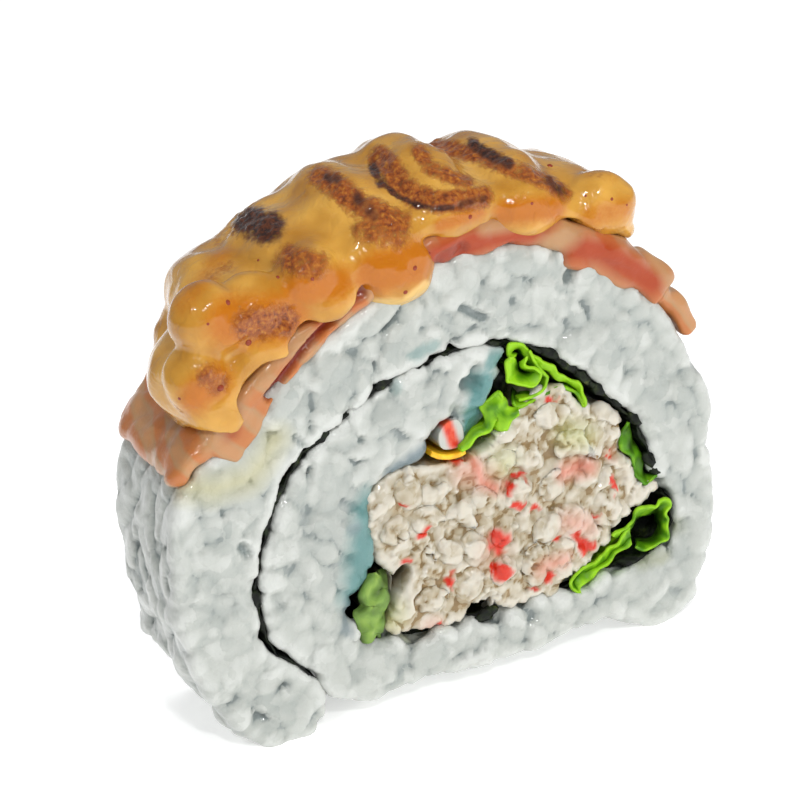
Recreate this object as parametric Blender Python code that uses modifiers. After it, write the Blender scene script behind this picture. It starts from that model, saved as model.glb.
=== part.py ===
"""One cut piece of uramaki: sushi rice outside, seaweed wound through it, crab salad and lettuce inside,
a slice of seared salmon laid over the top and a thick flamed sauce on the salmon.

The roll's axis runs along Y, the cut face that is looked at faces -Y, and +Z is up. Lines across the roll
are given as (x, z) pairs in millimetres, measured from the middle between the roll's two feet.
"""

import random
from math import cos, pi, radians, sin

import bmesh
import bpy
import numpy as np
from mathutils import Matrix, Vector

MM = 0.001
DEPTH = 17 * MM
HALF = DEPTH / 2
BACK_WIDTH = 0.95
GAP = 0.3 * MM

NORI_THICKNESS = 0.4 * MM
NORI_STEP = 1.8
LEAF_THICKNESS = 0.5 * MM
SALMON_THICKNESS = 2.6 * MM
SALMON_OVERHANG = 0.7 * MM
SAUCE_THICKNESS = 2.4 * MM
SAUCE_VOXEL = 1.1 * MM

GRAIN_LENGTH = 6.4 * MM
GRAIN_WIDTH = 2.6 * MM
GRAIN_SUNK = 0.4 * MM
GRAIN_SIDES = 6
GRAIN_RINGS = 3
GRAIN_FULLNESS = 0.75
GRAIN_THROWS = 5000
SIDE_ROWS = 3
SIDE_ROWS_APART = 5.0 * MM
CHUNK_WIDTH = 3.4 * MM
CHUNKS_APART = 3.5

# The roll is wider on its left, so its own middle stands this far from the middle between its feet.
MIDDLE_X = 0.7 * MM

# The rice's outer line, clockwise from the open end of the roll at the lower left.
RICE_LINE = [
    (-15.9, 3.6), (-16.4, 1.2), (-18.2, -0.5), (-20.9, -0.4), (-23.6, 1.4), (-25.8, 4.2), (-27.8, 8.6),
    (-28.8, 13.6), (-29.0, 19.2), (-28.3, 23.6), (-26.7, 27.0), (-24.0, 28.9), (-21.0, 30.6), (-18.2, 33.0),
    (-15.2, 35.3), (-11.6, 37.1), (-7.6, 38.9), (-3.6, 40.4), (0.6, 41.6), (4.4, 41.9), (8.6, 41.1),
    (12.6, 39.8), (16.4, 37.8), (19.8, 35.2), (22.4, 32.2), (24.4, 28.4), (26.2, 24.6), (27.4, 20.4),
    (26.6, 17.0), (26.9, 12.8), (26.4, 8.2), (24.6, 4.2), (22.2, 0.6), (19.8, -0.6), (17.6, 0.4),
    (13.6, 2.8), (9.2, 1.9), (4.0, 1.7), (-1.0, 2.0), (-6.2, 2.1), (-10.6, 1.4), (-14.0, 2.6),
]

# The seaweed's line, from the open end of the roll, up the left, once round and into the filling.
NORI_LINE = [
    (-15.9, 3.4), (-16.5, 5.2), (-18.4, 7.2), (-20.6, 9.4), (-21.1, 12.4), (-21.2, 15.4), (-20.4, 18.6),
    (-18.9, 22.0), (-17.0, 25.2), (-14.2, 27.5), (-11.0, 29.3), (-8.0, 31.0), (-4.6, 32.1), (-1.0, 32.7),
    (2.6, 33.0), (6.0, 32.5), (9.0, 31.3), (11.6, 29.4), (14.0, 27.0), (16.2, 24.6), (18.5, 21.8),
    (19.8, 18.9), (20.8, 16.1), (21.8, 13.4), (22.2, 10.9), (21.3, 8.7), (19.2, 7.4), (15.6, 6.8),
    (11.0, 6.2), (6.0, 5.9), (1.0, 5.8), (-4.0, 5.9), (-8.4, 6.5), (-11.8, 7.4), (-13.6, 8.9),
    (-13.3, 10.8), (-12.4, 13.0), (-11.2, 15.1), (-10.2, 17.6), (-10.3, 20.0), (-9.6, 22.2), (-7.0, 23.4),
    (-4.3, 23.9), (-2.9, 25.4), (-1.2, 27.1), (1.0, 27.5), (2.8, 27.9), (3.9, 29.5),
]
FILLING_STARTS_X = 5.2

CRAB_LINE = [
    (-8.9, 8.1), (-7.8, 9.8), (-7.0, 12.6), (-8.8, 14.9), (-9.1, 17.6), (-9.4, 20.0), (-8.3, 22.0),
    (-4.8, 22.8), (-1.6, 22.1), (2.2, 22.3), (5.6, 24.2), (8.6, 26.6), (11.4, 26.6), (13.4, 23.8),
    (16.0, 23.6), (17.4, 21.8), (17.0, 19.6), (17.8, 17.4), (18.6, 14.9), (20.4, 14.3), (19.5, 13.5),
    (17.2, 13.0), (15.9, 11.0), (13.6, 9.3), (10.6, 8.2), (9.2, 6.8), (5.6, 6.6), (3.2, 6.8), (2.2, 8.0),
    (-0.4, 8.0), (-1.6, 6.7), (-5.0, 7.0),
]
CRAB_STICK_LINE = [(-1.1, 23.7), (0.9, 23.6), (1.2, 24.9), (0.8, 26.2), (-0.6, 26.1), (-1.4, 25.0)]
YELLOW_LINE = [(-2.5, 23.8), (-1.4, 23.1), (0.0, 22.85), (1.2, 23.0)]
LEAF_LINES = {
    "lettuce_top": [
        (13.7, 24.6), (13.0, 26.4), (11.3, 28.2), (9.5, 29.7), (8.3, 31.0), (6.9, 31.2), (6.1, 30.1),
        (6.3, 28.8), (7.4, 28.0), (8.9, 27.9), (9.6, 28.6),
    ],
    "lettuce_frill": [(1.9, 24.1), (3.4, 24.9), (5.1, 25.8), (5.5, 27.1), (4.6, 27.8)],
    "lettuce_left": [
        (-10.9, 8.8), (-11.7, 10.3), (-11.1, 12.3), (-9.9, 13.8), (-8.7, 13.3), (-8.7, 11.8), (-9.5, 10.6),
    ],
    "lettuce_right": [(17.9, 20.8), (18.3, 19.0), (19.0, 17.2), (19.7, 15.7)],
    "lettuce_base": [
        (11.0, 7.2), (13.2, 8.0), (15.6, 8.4), (18.0, 8.4), (20.0, 9.0), (20.9, 10.4), (20.5, 11.8),
        (19.2, 12.3), (17.9, 11.8), (17.2, 10.7),
    ],
}

# Where the salmon starts and ends, as x on the rice's line, and how far its thin right end stands off.
SALMON_LEFT_X = -27.2
SALMON_RIGHT_X = 24.0
SALMON_STANDS_OFF = 0.4
SHOULDER_Z = 25

# The share of the salmon's length that the sauce covers along the front face, and how much later it starts
# at the back.
SAUCE_SHARES = (0.1, 0.87)
SAUCE_STARTS_LATER = 0.08

# The sauce's lobes, in millimetres: the x on the rice's line that each lies over, its half width, its height
# over the salmon, how far it hangs down over the front and over the back, and how far short of the back face
# it ends.
SAUCE_LOBES = [
    (-20.4, 4.2, 6.2, 2.0, 0.0, 7.0),
    (-15.6, 4.6, 7.8, 1.6, 1.6, 0.0),
    (-10.2, 4.3, 7.4, 0.6, 0.6, 0.0),
    (-3.8, 4.3, 7.6, 3.6, 1.6, 0.0),
    (2.6, 4.0, 6.8, 0.0, 0.8, 0.0),
    (9.0, 4.1, 6.2, 0.4, 2.4, 0.0),
    (15.6, 4.0, 5.6, 1.2, 0.6, 0.0),
]


def smooth(points, step, closed=False):
    """Points the given step apart on a smooth line through the given points."""
    p = np.array(points, float)
    ends = (p[-1:], p[:2]) if closed else (2 * p[:1] - p[1:2], 2 * p[-1:] - p[-2:-1])
    p = np.vstack([ends[0], p, ends[1]])
    t = np.linspace(0, 1, 12)[:, None]
    runs = []
    for a, b, c, d in zip(p, p[1:], p[2:], p[3:]):
        curve = 2 * b + (c - a) * t + (2 * a - 5 * b + 4 * c - d) * t**2 + (3 * b - a - 3 * c + d) * t**3
        runs.append(curve[:-1] / 2)
    dense = np.vstack(runs + [p[-2:-1]])
    length = np.r_[0, np.cumsum(np.linalg.norm(np.diff(dense, axis=0), axis=1))]
    at = np.linspace(0, length[-1], round(length[-1] / step) + 1)
    line = np.stack([np.interp(at, length, dense[:, k]) for k in (0, 1)], axis=1)
    return line[:-1] if closed else line


def normals(line):
    """Unit normals of an open line, to the left of the way it runs."""
    along = np.gradient(line, axis=0)
    along /= np.linalg.norm(along, axis=1)[:, None]
    return np.stack([-along[:, 1], along[:, 0]], axis=1)


def inside(point, outline):
    """Whether a point lies inside a closed line."""
    x, z = point
    ahead = np.roll(outline, -1, axis=0)
    spans = (outline[:, 1] > z) != (ahead[:, 1] > z)
    a, b = outline[spans], ahead[spans]
    crossings = a[:, 0] + (z - a[:, 1]) * (b[:, 0] - a[:, 0]) / (b[:, 1] - a[:, 1])
    return bool((crossings > x).sum() % 2)


def clearance(point, line):
    return np.linalg.norm(line - point, axis=1).min()


def mesh_object(name, bm, group):
    """A bmesh as an object in a collection."""
    bmesh.ops.recalc_face_normals(bm, faces=bm.faces)
    mesh = bpy.data.meshes.new(name)
    bm.to_mesh(mesh)
    bm.free()
    obj = bpy.data.objects.new(name, mesh)
    group.objects.link(obj)
    return obj


def slab(name, outline, half_depth, rounding, group):
    """A closed line across the roll as a solid of the given half depth, its rims rounded."""
    curve = bpy.data.curves.new(name, "CURVE")
    curve.dimensions = "2D"
    curve.fill_mode = "BOTH"
    curve.extrude = half_depth - rounding
    curve.bevel_depth = rounding
    curve.bevel_resolution = 1
    curve.offset = -rounding
    spline = curve.splines.new("POLY")
    spline.points.add(len(outline) - 1)
    for point, (x, z) in zip(spline.points, outline):
        point.co = (x * MM, z * MM, 0, 1)
    spline.use_cyclic_u = True
    drawn = bpy.data.objects.new(name, curve)
    group.objects.link(drawn)
    bpy.context.view_layer.update()
    solid = bpy.data.meshes.new_from_object(drawn.evaluated_get(bpy.context.evaluated_depsgraph_get()))
    bpy.data.objects.remove(drawn)
    bm = bmesh.new()
    bm.from_mesh(solid)
    bpy.data.meshes.remove(solid)
    bmesh.ops.remove_doubles(bm, verts=bm.verts, dist=0.02 * MM)
    bmesh.ops.rotate(bm, verts=bm.verts, matrix=Matrix.Rotation(pi / 2, 3, "X"))
    return mesh_object(name, bm, group)


def sheet(name, line, thickness, rows, wave, group, half_depth=HALF):
    """A thin sheet that stands on a line across the roll and runs the roll's depth, in even triangles."""
    bm = bmesh.new()
    bmesh.ops.create_grid(bm, x_segments=len(line) - 1, y_segments=rows, size=0.5)
    out = normals(line)
    for vert in bm.verts:
        at = round((vert.co.x + 0.5) * (len(line) - 1))
        across = vert.co.y * 2
        ripple = wave * sin(across * 4.0 + at * 0.9)
        x, z = line[at] + out[at] * ripple
        vert.co = (x * MM, across * half_depth, z * MM)
    bmesh.ops.triangulate(bm, faces=bm.faces)
    obj = mesh_object(name, bm, group)
    solid = obj.modifiers.new("thickness", "SOLIDIFY")
    solid.thickness = thickness
    solid.offset = 0
    return obj


def applied(obj):
    """The object with its modifiers worked into its mesh."""
    bpy.context.view_layer.update()
    mesh = bpy.data.meshes.new_from_object(obj.evaluated_get(bpy.context.evaluated_depsgraph_get()))
    obj.modifiers.clear()
    obj.data = mesh
    return obj


def combine(obj, other, operation, solver="EXACT"):
    """Joins or cuts an object with another one, or with a whole collection, and applies it."""
    step = obj.modifiers.new(operation.lower(), "BOOLEAN")
    step.operation = operation
    step.solver = solver
    if isinstance(other, bpy.types.Collection):
        step.operand_type = "COLLECTION"
        step.collection = other
    else:
        step.object = other
    return applied(obj)


def largest_body(obj):
    """Drops loose scraps: only the body with the most faces stays."""
    bm = bmesh.new()
    bm.from_mesh(obj.data)
    bmesh.ops.remove_doubles(bm, verts=bm.verts, dist=0.005 * MM)
    left, best = set(bm.faces), set()
    while left:
        body, edge = set(), [left.pop()]
        while edge:
            face = edge.pop()
            body.add(face)
            for side in face.edges:
                near = left.intersection(side.link_faces)
                left -= near
                edge.extend(near)
        best = max(best, body, key=len)
    bmesh.ops.delete(bm, geom=[face for face in bm.faces if face not in best], context="FACES")
    bm.to_mesh(obj.data)
    bm.free()
    return obj


def lump(name, centre, axes, size, segments, rings, group, fullness=1.0):
    """A sphere stretched to the given half sizes along three axes, squared up where fullness is below 1."""
    bm = bmesh.new()
    bmesh.ops.create_uvsphere(bm, u_segments=segments, v_segments=rings, radius=1)
    for vert in bm.verts:
        vert.co = [(1 if c > 0 else -1) * abs(c) ** fullness for c in vert.co]
    obj = mesh_object(name, bm, group)
    turn = Matrix(axes).transposed() @ Matrix.Diagonal(size)
    obj.data.transform(Matrix.Translation(centre) @ turn.to_4x4())
    return obj


def clear_out(group):
    for obj in list(group.objects):
        bpy.data.objects.remove(obj)


def narrow_to_back(obj):
    """Narrows a finished solid towards the roll's back."""
    for vert in applied(obj).data.vertices:
        share = (vert.co.y + HALF) / DEPTH
        vert.co.x *= 1 + (BACK_WIDTH - 1) * share


def material(name, colour, roughness):
    """A Principled material from an RGB colour."""
    finish = bpy.data.materials.new(name)
    finish.use_nodes = True
    shader = finish.node_tree.nodes["Principled BSDF"]
    shader.inputs["Base Color"].default_value = (*colour, 1)
    shader.inputs["Roughness"].default_value = roughness
    shader.inputs["Metallic"].default_value = 0
    return finish


def grain(draw, centre, out, round_way, angle, length, group):
    """One grain of rice, sunk in the surface that faces out, turned in it by an angle from a way round."""
    along = (round_way * cos(angle) + out.cross(round_way) * sin(angle)).normalized()
    wide = draw.uniform(0.9, 1.1) * GRAIN_WIDTH / 2
    size = (wide, wide, length / 2)
    spot = centre - out * (GRAIN_SUNK + draw.uniform(0, 0.5) * MM)
    lump("grain", spot, (along.cross(out), out, along), size, GRAIN_SIDES, GRAIN_RINGS, group, GRAIN_FULLNESS)


def filling_outline(nori):
    """The space that the last turn of seaweed closes round."""
    start = next(i for i, (x, z) in enumerate(nori) if x > FILLING_STARTS_X and z > SHOULDER_Z)
    return nori[start:]


def face_grains(draw, filling, group):
    """Grains on both cut faces, thrown at random and kept where they lie apart from each other and cross
    neither the rim, the seaweed nor the filling."""
    rice, nori = smooth(RICE_LINE, 0.5, closed=True), smooth(NORI_LINE, 0.5)
    low, high = rice.min(axis=0), rice.max(axis=0)
    wide = GRAIN_WIDTH / MM / 2
    for side in (-1, 1):
        taken = rice[:0]
        for _ in range(GRAIN_THROWS):
            spot = np.array([draw.uniform(low[0], high[0]), draw.uniform(low[1], high[1])])
            angle = draw.uniform(0, pi)
            length = draw.uniform(0.7, 1.05) * GRAIN_LENGTH
            reach = np.array([cos(angle), sin(angle)]) * (length / MM / 2 - wide)
            line = spot + reach * np.linspace(-1, 1, 5)[:, None]
            if not all(inside(p, rice) and not inside(p, filling) for p in line):
                continue
            if min(clearance(p, rice) for p in line) < wide * 1.15:
                continue
            if min(clearance(p, nori) for p in line) < wide * 1.15:
                continue
            if len(taken) and min(clearance(p, taken) for p in line) < wide * 1.3:
                continue
            taken = np.vstack([taken, line])
            centre = Vector((spot[0] * MM, side * HALF, spot[1] * MM))
            grain(draw, centre, Vector((0, side, 0)), Vector((1, 0, 0)), -side * angle, length, group)


def side_grains(draw, rice, group):
    """Grains on the roll's outer side, in rows round it, left out where the salmon and the floor cover it."""
    out = normals(rice)
    every = 3
    for at in range(0, len(rice), every):
        x, z = rice[at]
        if z < 1.6 or z > SHOULDER_Z - GRAIN_LENGTH / MM / 2 - 1:
            continue
        across = Vector((out[at, 0], 0, out[at, 1])).normalized()
        for row in range(SIDE_ROWS):
            from_middle = row - SIDE_ROWS / 2 + 0.25 + 0.5 * (at // every % 2)
            y = from_middle * SIDE_ROWS_APART + draw.uniform(-0.6, 0.6) * MM
            length = draw.uniform(0.8, 1.0) * GRAIN_LENGTH
            centre = Vector((x * MM, y, z * MM))
            grain(draw, centre, across, Vector((0, 1, 0)), draw.uniform(0, pi), length, group)


def build_rice(parts, cutters, pieces):
    """The wound sheet of rice: a core with grains fused on, cut by the seaweed, the filling and the floor."""
    draw = random.Random(7)
    outline = smooth(RICE_LINE, 2.1, closed=True)
    nori = smooth(NORI_LINE, NORI_STEP)
    core = slab("rice", outline, HALF, 0.8 * MM, parts)
    face_grains(draw, filling_outline(nori), pieces)
    side_grains(draw, outline, pieces)
    combine(core, pieces, "UNION")
    clear_out(pieces)

    through = HALF + 3 * MM
    lead_in = nori[:1] + (nori[0] - nori[1]) * 2
    channel = sheet("channel", np.vstack([lead_in, nori]), NORI_THICKNESS + 2 * GAP, 1, 0, cutters, through)
    space = slab("filling_space", filling_outline(nori), through, 0, cutters)
    combine(core, applied(channel), "DIFFERENCE", "MANIFOLD")
    combine(core, space, "DIFFERENCE")
    bm = bmesh.new()
    bm.from_mesh(core.data)
    everything = bm.verts[:] + bm.edges[:] + bm.faces[:]
    cut = bmesh.ops.bisect_plane(bm, geom=everything, plane_no=(0, 0, -1), clear_outer=True)
    rim = [item for item in cut["geom_cut"] if isinstance(item, bmesh.types.BMEdge)]
    bmesh.ops.triangle_fill(bm, edges=rim, use_beauty=True)
    bm.to_mesh(core.data)
    bm.free()
    return largest_body(core)


def build_nori(parts):
    """The sheet of seaweed, wound on the inner side of the rice."""
    return sheet("nori", smooth(NORI_LINE, NORI_STEP), NORI_THICKNESS, 1, 0, parts)


def build_crab(parts, pieces):
    """Crab salad: a core with chunks fused on at both cut faces."""
    draw = random.Random(11)
    outline = smooth(CRAB_LINE, 1.6, closed=True)
    core = slab("crab_salad", outline, HALF - 0.4 * MM, 0, parts)
    low, high = outline.min(axis=0), outline.max(axis=0)
    for side in (-1, 1):
        for row, z in enumerate(np.arange(low[1], high[1], CHUNKS_APART)):
            for x in np.arange(low[0] + CHUNKS_APART / 2 * (row % 2), high[0], CHUNKS_APART):
                spot = (x + draw.uniform(-0.7, 0.7), z + draw.uniform(-0.7, 0.7))
                radius = draw.uniform(0.75, 1.1) * CHUNK_WIDTH / 2
                angle = draw.uniform(0, pi)
                if not inside(spot, outline) or clearance(spot, outline) * MM < radius:
                    continue
                centre = Vector((spot[0] * MM, side * (HALF - 0.6 * MM), spot[1] * MM))
                along, out = Vector((cos(angle), 0, sin(angle))), Vector((0, side, 0))
                size = (radius, radius * 0.7, 1.1 * MM)
                lump("chunk", centre, (along, out.cross(along), out), size, 6, 3, pieces, 0.8)
    combine(core, pieces, "UNION")
    clear_out(pieces)
    return largest_body(core)


def salmon_line():
    """The stretch of the rice's line that the salmon covers."""
    rice = smooth(RICE_LINE, 2.1, closed=True)
    return np.array([p for p in rice if SALMON_LEFT_X < p[0] < SALMON_RIGHT_X and p[1] > SHOULDER_Z])


def over_rice(line, share, height):
    """The point across the roll, and the way out of it, at a share of the salmon's length and a height in
    millimetres over the rice. The salmon's right end stands off the rice."""
    at = share * (len(line) - 1)
    near = int(min(max(at, 0), len(line) - 2))
    out = normals(line)
    way = out[near] + (out[near + 1] - out[near]) * min(max(at - near, 0), 1)
    lift = SALMON_STANDS_OFF * max(0, share - 0.9) / 0.1
    return line[near] + (line[near + 1] - line[near]) * (at - near) + way * (height + lift), way


def to_end(share, length):
    """1 over most of the salmon, falling to 0 at its ends over a share of its length."""
    return min(1, max(0, min(share, 1 - share) / length))


def salmon_top(share):
    """The salmon's upper side over the rice, in millimetres: it thins towards both ends."""
    return (GAP + SALMON_THICKNESS * (0.5 + 0.5 * to_end(share, 0.14))) / MM


def draped(name, shares, half_depth, low, high, group, later=0):
    """A slice draped over the roll between two shares of the salmon's length, starting later at the back.
    Its lower and upper sides are heights over the rice, in millimetres, worked out from the share."""
    columns, rows = 26, 5
    line = salmon_line()
    thickest = max(high(k / columns) - low(k / columns) for k in range(columns + 1))
    bm = bmesh.new()
    bmesh.ops.create_grid(bm, x_segments=columns, y_segments=rows, size=0.5)
    bm.verts.ensure_lookup_table()
    weights = []
    for vert in bm.verts:
        side = vert.co.y * 2
        first = shares[0] + later * (side + 1) / 2
        share = first + (shares[1] - first) * (vert.co.x + 0.5)
        wander = 0.4 * sin(share * 21) * abs(side) ** 5 - 0.9 * side * (1 - to_end(share, 0.05))
        (x, z), way = over_rice(line, share, (low(share) + high(share)) / 2)
        vert.co = (x * MM, side * half_depth + wander * MM, z * MM)
        weights.append((high(share) - low(share)) / thickest)
    bmesh.ops.triangulate(bm, faces=bm.faces)
    obj = mesh_object(name, bm, group)
    full = obj.vertex_groups.new(name="thickness")
    for index, weight in enumerate(weights):
        full.add([index], weight, "REPLACE")
    solid = obj.modifiers.new("thickness", "SOLIDIFY")
    solid.thickness = thickest * MM
    solid.offset = 0
    solid.vertex_group = full.name
    return obj


def build_salmon(parts):
    """The slice of salmon, laid over the top and both shoulders, its cut edges softened."""
    salmon = draped("salmon", (0, 1), HALF + SALMON_OVERHANG, lambda share: GAP / MM, salmon_top, parts)
    rim = salmon.modifiers.new("soft edge", "BEVEL")
    rim.width = 0.5 * MM
    rim.segments = 1
    rim.limit_method = "ANGLE"
    rim.angle_limit = radians(60)
    return salmon


def build_sauce(parts, cutters, pieces):
    """The sauce: a thick spread over the salmon, with lobes that run together and hang over both faces."""
    line = salmon_line()

    def spread_under(share):
        return salmon_top(share) - 0.5

    def spread_over(share):
        return salmon_top(share) + SAUCE_THICKNESS / MM

    half_depth = HALF - 0.2 * MM
    spread = draped("sauce", SAUCE_SHARES, half_depth, spread_under, spread_over, parts, SAUCE_STARTS_LATER)
    sauce = applied(spread)
    for over_x, wide, high, front, back, short in SAUCE_LOBES:
        share = (np.abs(line[:, 0] - over_x).argmin()) / (len(line) - 1)
        for side, hang in ((0, 0), (-1, front), (1, back)):
            if side == 1 and short:
                continue
            (x, z), way = over_rice(line, share, salmon_top(share) + (1.0 - hang / 2 if side else 0.6))
            out = Vector((way[0], 0, way[1])).normalized()
            ahead = out.cross(Vector((0, 1, 0)))
            if side:
                size = (wide * 0.9 * MM, 2.9 * MM, (high * 0.42 + hang / 2) * MM)
            else:
                size = (wide * MM, HALF + (0.8 - short / 2) * MM, (high - 0.6) * MM)
            centre = Vector((x * MM, side * (HALF - 0.9 * MM) - (not side) * short / 2 * MM, z * MM))
            lump("lobe", centre, (ahead, Vector((0, 1, 0)), out), size, 14, 8, pieces, 0.8)
    combine(sauce, pieces, "UNION")
    clear_out(pieces)
    melt = sauce.modifiers.new("melt together", "REMESH")
    melt.mode = "VOXEL"
    melt.voxel_size = SAUCE_VOXEL
    settle = sauce.modifiers.new("settle", "SMOOTH")
    settle.iterations = 3
    coarser = sauce.modifiers.new("fewer faces", "DECIMATE")
    coarser.ratio = 0.26
    applied(sauce)

    def under_salmon(share):
        return -1.0

    def clear_of_salmon(share):
        return salmon_top(share) + GAP / MM

    reach = HALF + SALMON_OVERHANG + 2 * GAP
    under = draped("under_sauce", (-0.02, 1.02), reach, under_salmon, clear_of_salmon, cutters)
    faces = slab("faces", smooth(RICE_LINE, 2.1, closed=True), reach, 0, cutters)
    combine(sauce, applied(under), "DIFFERENCE")
    combine(sauce, faces, "DIFFERENCE")
    return largest_body(sauce)


def main():
    for obj in list(bpy.data.objects):
        bpy.data.objects.remove(obj)
    scene = bpy.context.scene.collection
    names = ("uramaki_roll", "cutters", "pieces")
    parts, cutters, pieces = (bpy.data.collections.new(name) for name in names)
    for group in (parts, cutters, pieces):
        scene.children.link(group)

    rice = material("rice", (0.80, 0.81, 0.79), 0.35)
    nori = material("nori", (0.02, 0.03, 0.02), 0.6)
    crab = material("crab salad", (0.86, 0.76, 0.66), 0.45)
    red = material("crab stick", (0.75, 0.12, 0.05), 0.4)
    yellow = material("yellow filling", (0.80, 0.52, 0.05), 0.45)
    leaf = material("lettuce", (0.20, 0.45, 0.03), 0.4)
    fish = material("seared salmon", (0.72, 0.30, 0.16), 0.35)
    glaze = material("flamed sauce", (0.66, 0.33, 0.09), 0.2)

    built = {
        build_rice(parts, cutters, pieces): rice,
        build_nori(parts): nori,
        build_crab(parts, pieces): crab,
        slab("crab_stick", smooth(CRAB_STICK_LINE, 0.8, closed=True), HALF - 0.1 * MM, 0, parts): red,
        sheet("yellow_strip", smooth(YELLOW_LINE, 0.9), 0.7 * MM, 1, 0, parts): yellow,
        build_salmon(parts): fish,
        build_sauce(parts, cutters, pieces): glaze,
    }
    for name, line in LEAF_LINES.items():
        built[sheet(name, smooth(line, 1.1), LEAF_THICKNESS, 4, 0.15, parts)] = leaf
    middle = bpy.data.objects.new("middle", None)
    parts.objects.link(middle)
    middle.location.x = MIDDLE_X
    for obj, finish in built.items():
        narrow_to_back(obj)
        obj.data.materials.clear()
        obj.data.materials.append(finish)
        obj.data.shade_smooth()
        obj.data.set_sharp_from_angle(angle=radians(40))
        obj.parent = middle
    for cutter in cutters.objects:
        cutter.hide_render = True
        cutter.display_type = "WIRE"


if __name__ == "__main__":
    main()
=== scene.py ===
"""One cut piece of uramaki, dressed over its solids: cooked rice, seaweed, crab salad, lettuce, seared salmon
and a thick flamed sauce.

The cut face that is looked at faces -Y. Places on it are given as (x, z) pairs in millimetres from the middle
between the roll's two feet, as the solids' own drawing has them.
"""

import random
from math import cos, pi, radians, sin

import bpy
import numpy as np
from mathutils import Matrix, Vector, noise
from mathutils.bvhtree import BVHTree


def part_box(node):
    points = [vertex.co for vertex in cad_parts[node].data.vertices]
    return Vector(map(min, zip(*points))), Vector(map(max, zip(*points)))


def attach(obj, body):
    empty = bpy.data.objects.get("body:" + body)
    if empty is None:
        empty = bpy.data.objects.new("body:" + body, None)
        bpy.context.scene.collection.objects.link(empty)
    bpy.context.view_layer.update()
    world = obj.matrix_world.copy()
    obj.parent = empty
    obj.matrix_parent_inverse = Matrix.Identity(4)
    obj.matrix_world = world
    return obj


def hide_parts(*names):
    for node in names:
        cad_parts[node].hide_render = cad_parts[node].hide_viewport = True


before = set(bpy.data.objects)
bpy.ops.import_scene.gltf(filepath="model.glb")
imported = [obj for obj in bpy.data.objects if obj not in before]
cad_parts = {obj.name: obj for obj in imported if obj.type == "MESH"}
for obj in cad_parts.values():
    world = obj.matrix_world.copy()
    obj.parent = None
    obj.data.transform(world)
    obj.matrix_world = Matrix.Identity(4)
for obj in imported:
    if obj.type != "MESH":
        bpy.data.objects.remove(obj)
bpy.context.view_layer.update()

# Camera, floor and light
# The piece is seen from 24 degrees to its left and 20 degrees above, on white, with a slightly tilted camera.
# Three small lamps give its wet sparkle. Two large soft ones and a bright sky light it as a light tent does.
MM = 0.001
AZIMUTH, ELEVATION, ROLL = radians(24), radians(20), radians(6.75)
DISTANCE = 300 * MM
AIM = Vector((-4.277, -8.5, 29.756)) * MM
LENS = 148.5
LAMPS_AIM = Vector((0, 0, 0.025))
SKY, SKY_STRENGTH = "#F4F7FA", 0.32
PAPER, PAPER_GLOW, PAPER_SIZE = "#FBFBFB", 0.42, 4


def linear(code):
    """An sRGB hex colour as linear RGBA."""
    channels = [int(code[k:k + 2], 16) / 255 for k in (1, 3, 5)]
    return [c / 12.92 if c <= 0.04045 else ((c + 0.055) / 1.055) ** 2.4 for c in channels] + [1]


def node(tree, kind, settings, links=None):
    """Adds a node. Settings are its sockets' values, by name or number, or its own properties."""
    made = tree.nodes.new(kind)
    for key, value in settings.items():
        if key == "ramp":
            stops = made.color_ramp.elements
            stops.remove(stops[1])
            stops[0].position = value[0][0]
            for place, _ in value[1:]:
                stops.new(place)
            for stop, (_, colour) in zip(stops, value):
                stop.color = linear(colour)
        elif isinstance(key, int) or key in made.inputs:
            made.inputs[key].default_value = value
        else:
            setattr(made, key, value)
    for key, source in (links or {}).items():
        tree.links.new(source, made.inputs[key])
    return made


def new_material(name, settings):
    """A material, its node tree and its Principled shader with the given settings."""
    finish = bpy.data.materials.new(name)
    finish.use_nodes = True
    shader = finish.node_tree.nodes["Principled BSDF"]
    for key, value in settings.items():
        shader.inputs[key].default_value = value
    return finish, finish.node_tree, shader


toward = Vector((-sin(AZIMUTH) * cos(ELEVATION), -cos(AZIMUTH) * cos(ELEVATION), sin(ELEVATION)))
camera = bpy.data.objects.new("camera", bpy.data.cameras.new("camera"))
bpy.context.scene.collection.objects.link(camera)
camera.data.lens = LENS
look = (-toward).to_track_quat("-Z", "Y").to_matrix().to_4x4()
camera.matrix_world = Matrix.Translation(AIM + toward * DISTANCE) @ look @ Matrix.Rotation(-ROLL, 4, "Z")
bpy.context.scene.camera = camera
bpy.context.scene.view_settings.view_transform = "Standard"

for lamp_name, place, size, power, gloss in (
    ("key", (-0.12, -0.46, 0.42), 0.035, 0.9, True),
    ("spark_left", (-0.34, -0.28, 0.42), 0.02, 0.35, True),
    ("spark_right", (0.12, -0.40, 0.50), 0.02, 0.25, True),
    ("low_fill", (0.25, -0.55, 0.10), 0.45, 2.2, False),
    ("top", (0.05, 0.15, 0.60), 0.45, 1.35, False),
):
    lamp = bpy.data.objects.new(lamp_name, bpy.data.lights.new(lamp_name, "AREA"))
    bpy.context.scene.collection.objects.link(lamp)
    lamp.data.size = size
    lamp.data.energy = power
    lamp.visible_glossy = gloss
    lamp.location = place
    lamp.rotation_euler = (LAMPS_AIM - Vector(place)).to_track_quat("-Z", "Y").to_euler()

sky = bpy.data.worlds.new("sky")
sky.use_nodes = True
sky.node_tree.nodes["Background"].inputs["Color"].default_value = linear(SKY)
sky.node_tree.nodes["Background"].inputs["Strength"].default_value = SKY_STRENGTH
bpy.context.scene.world = sky

bpy.ops.object.select_all(action="DESELECT")
bpy.ops.mesh.primitive_plane_add(size=PAPER_SIZE, location=(0, 0, 0))
floor = bpy.context.object
floor.name = "floor"
paper = new_material("white photographer's paper", {
    "Base Color": linear(PAPER),
    "Roughness": 0.9,
    "Emission Color": linear("#FFFFFF"),
    "Emission Strength": PAPER_GLOW,
})[0]
floor.data.materials.append(paper)

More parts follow.
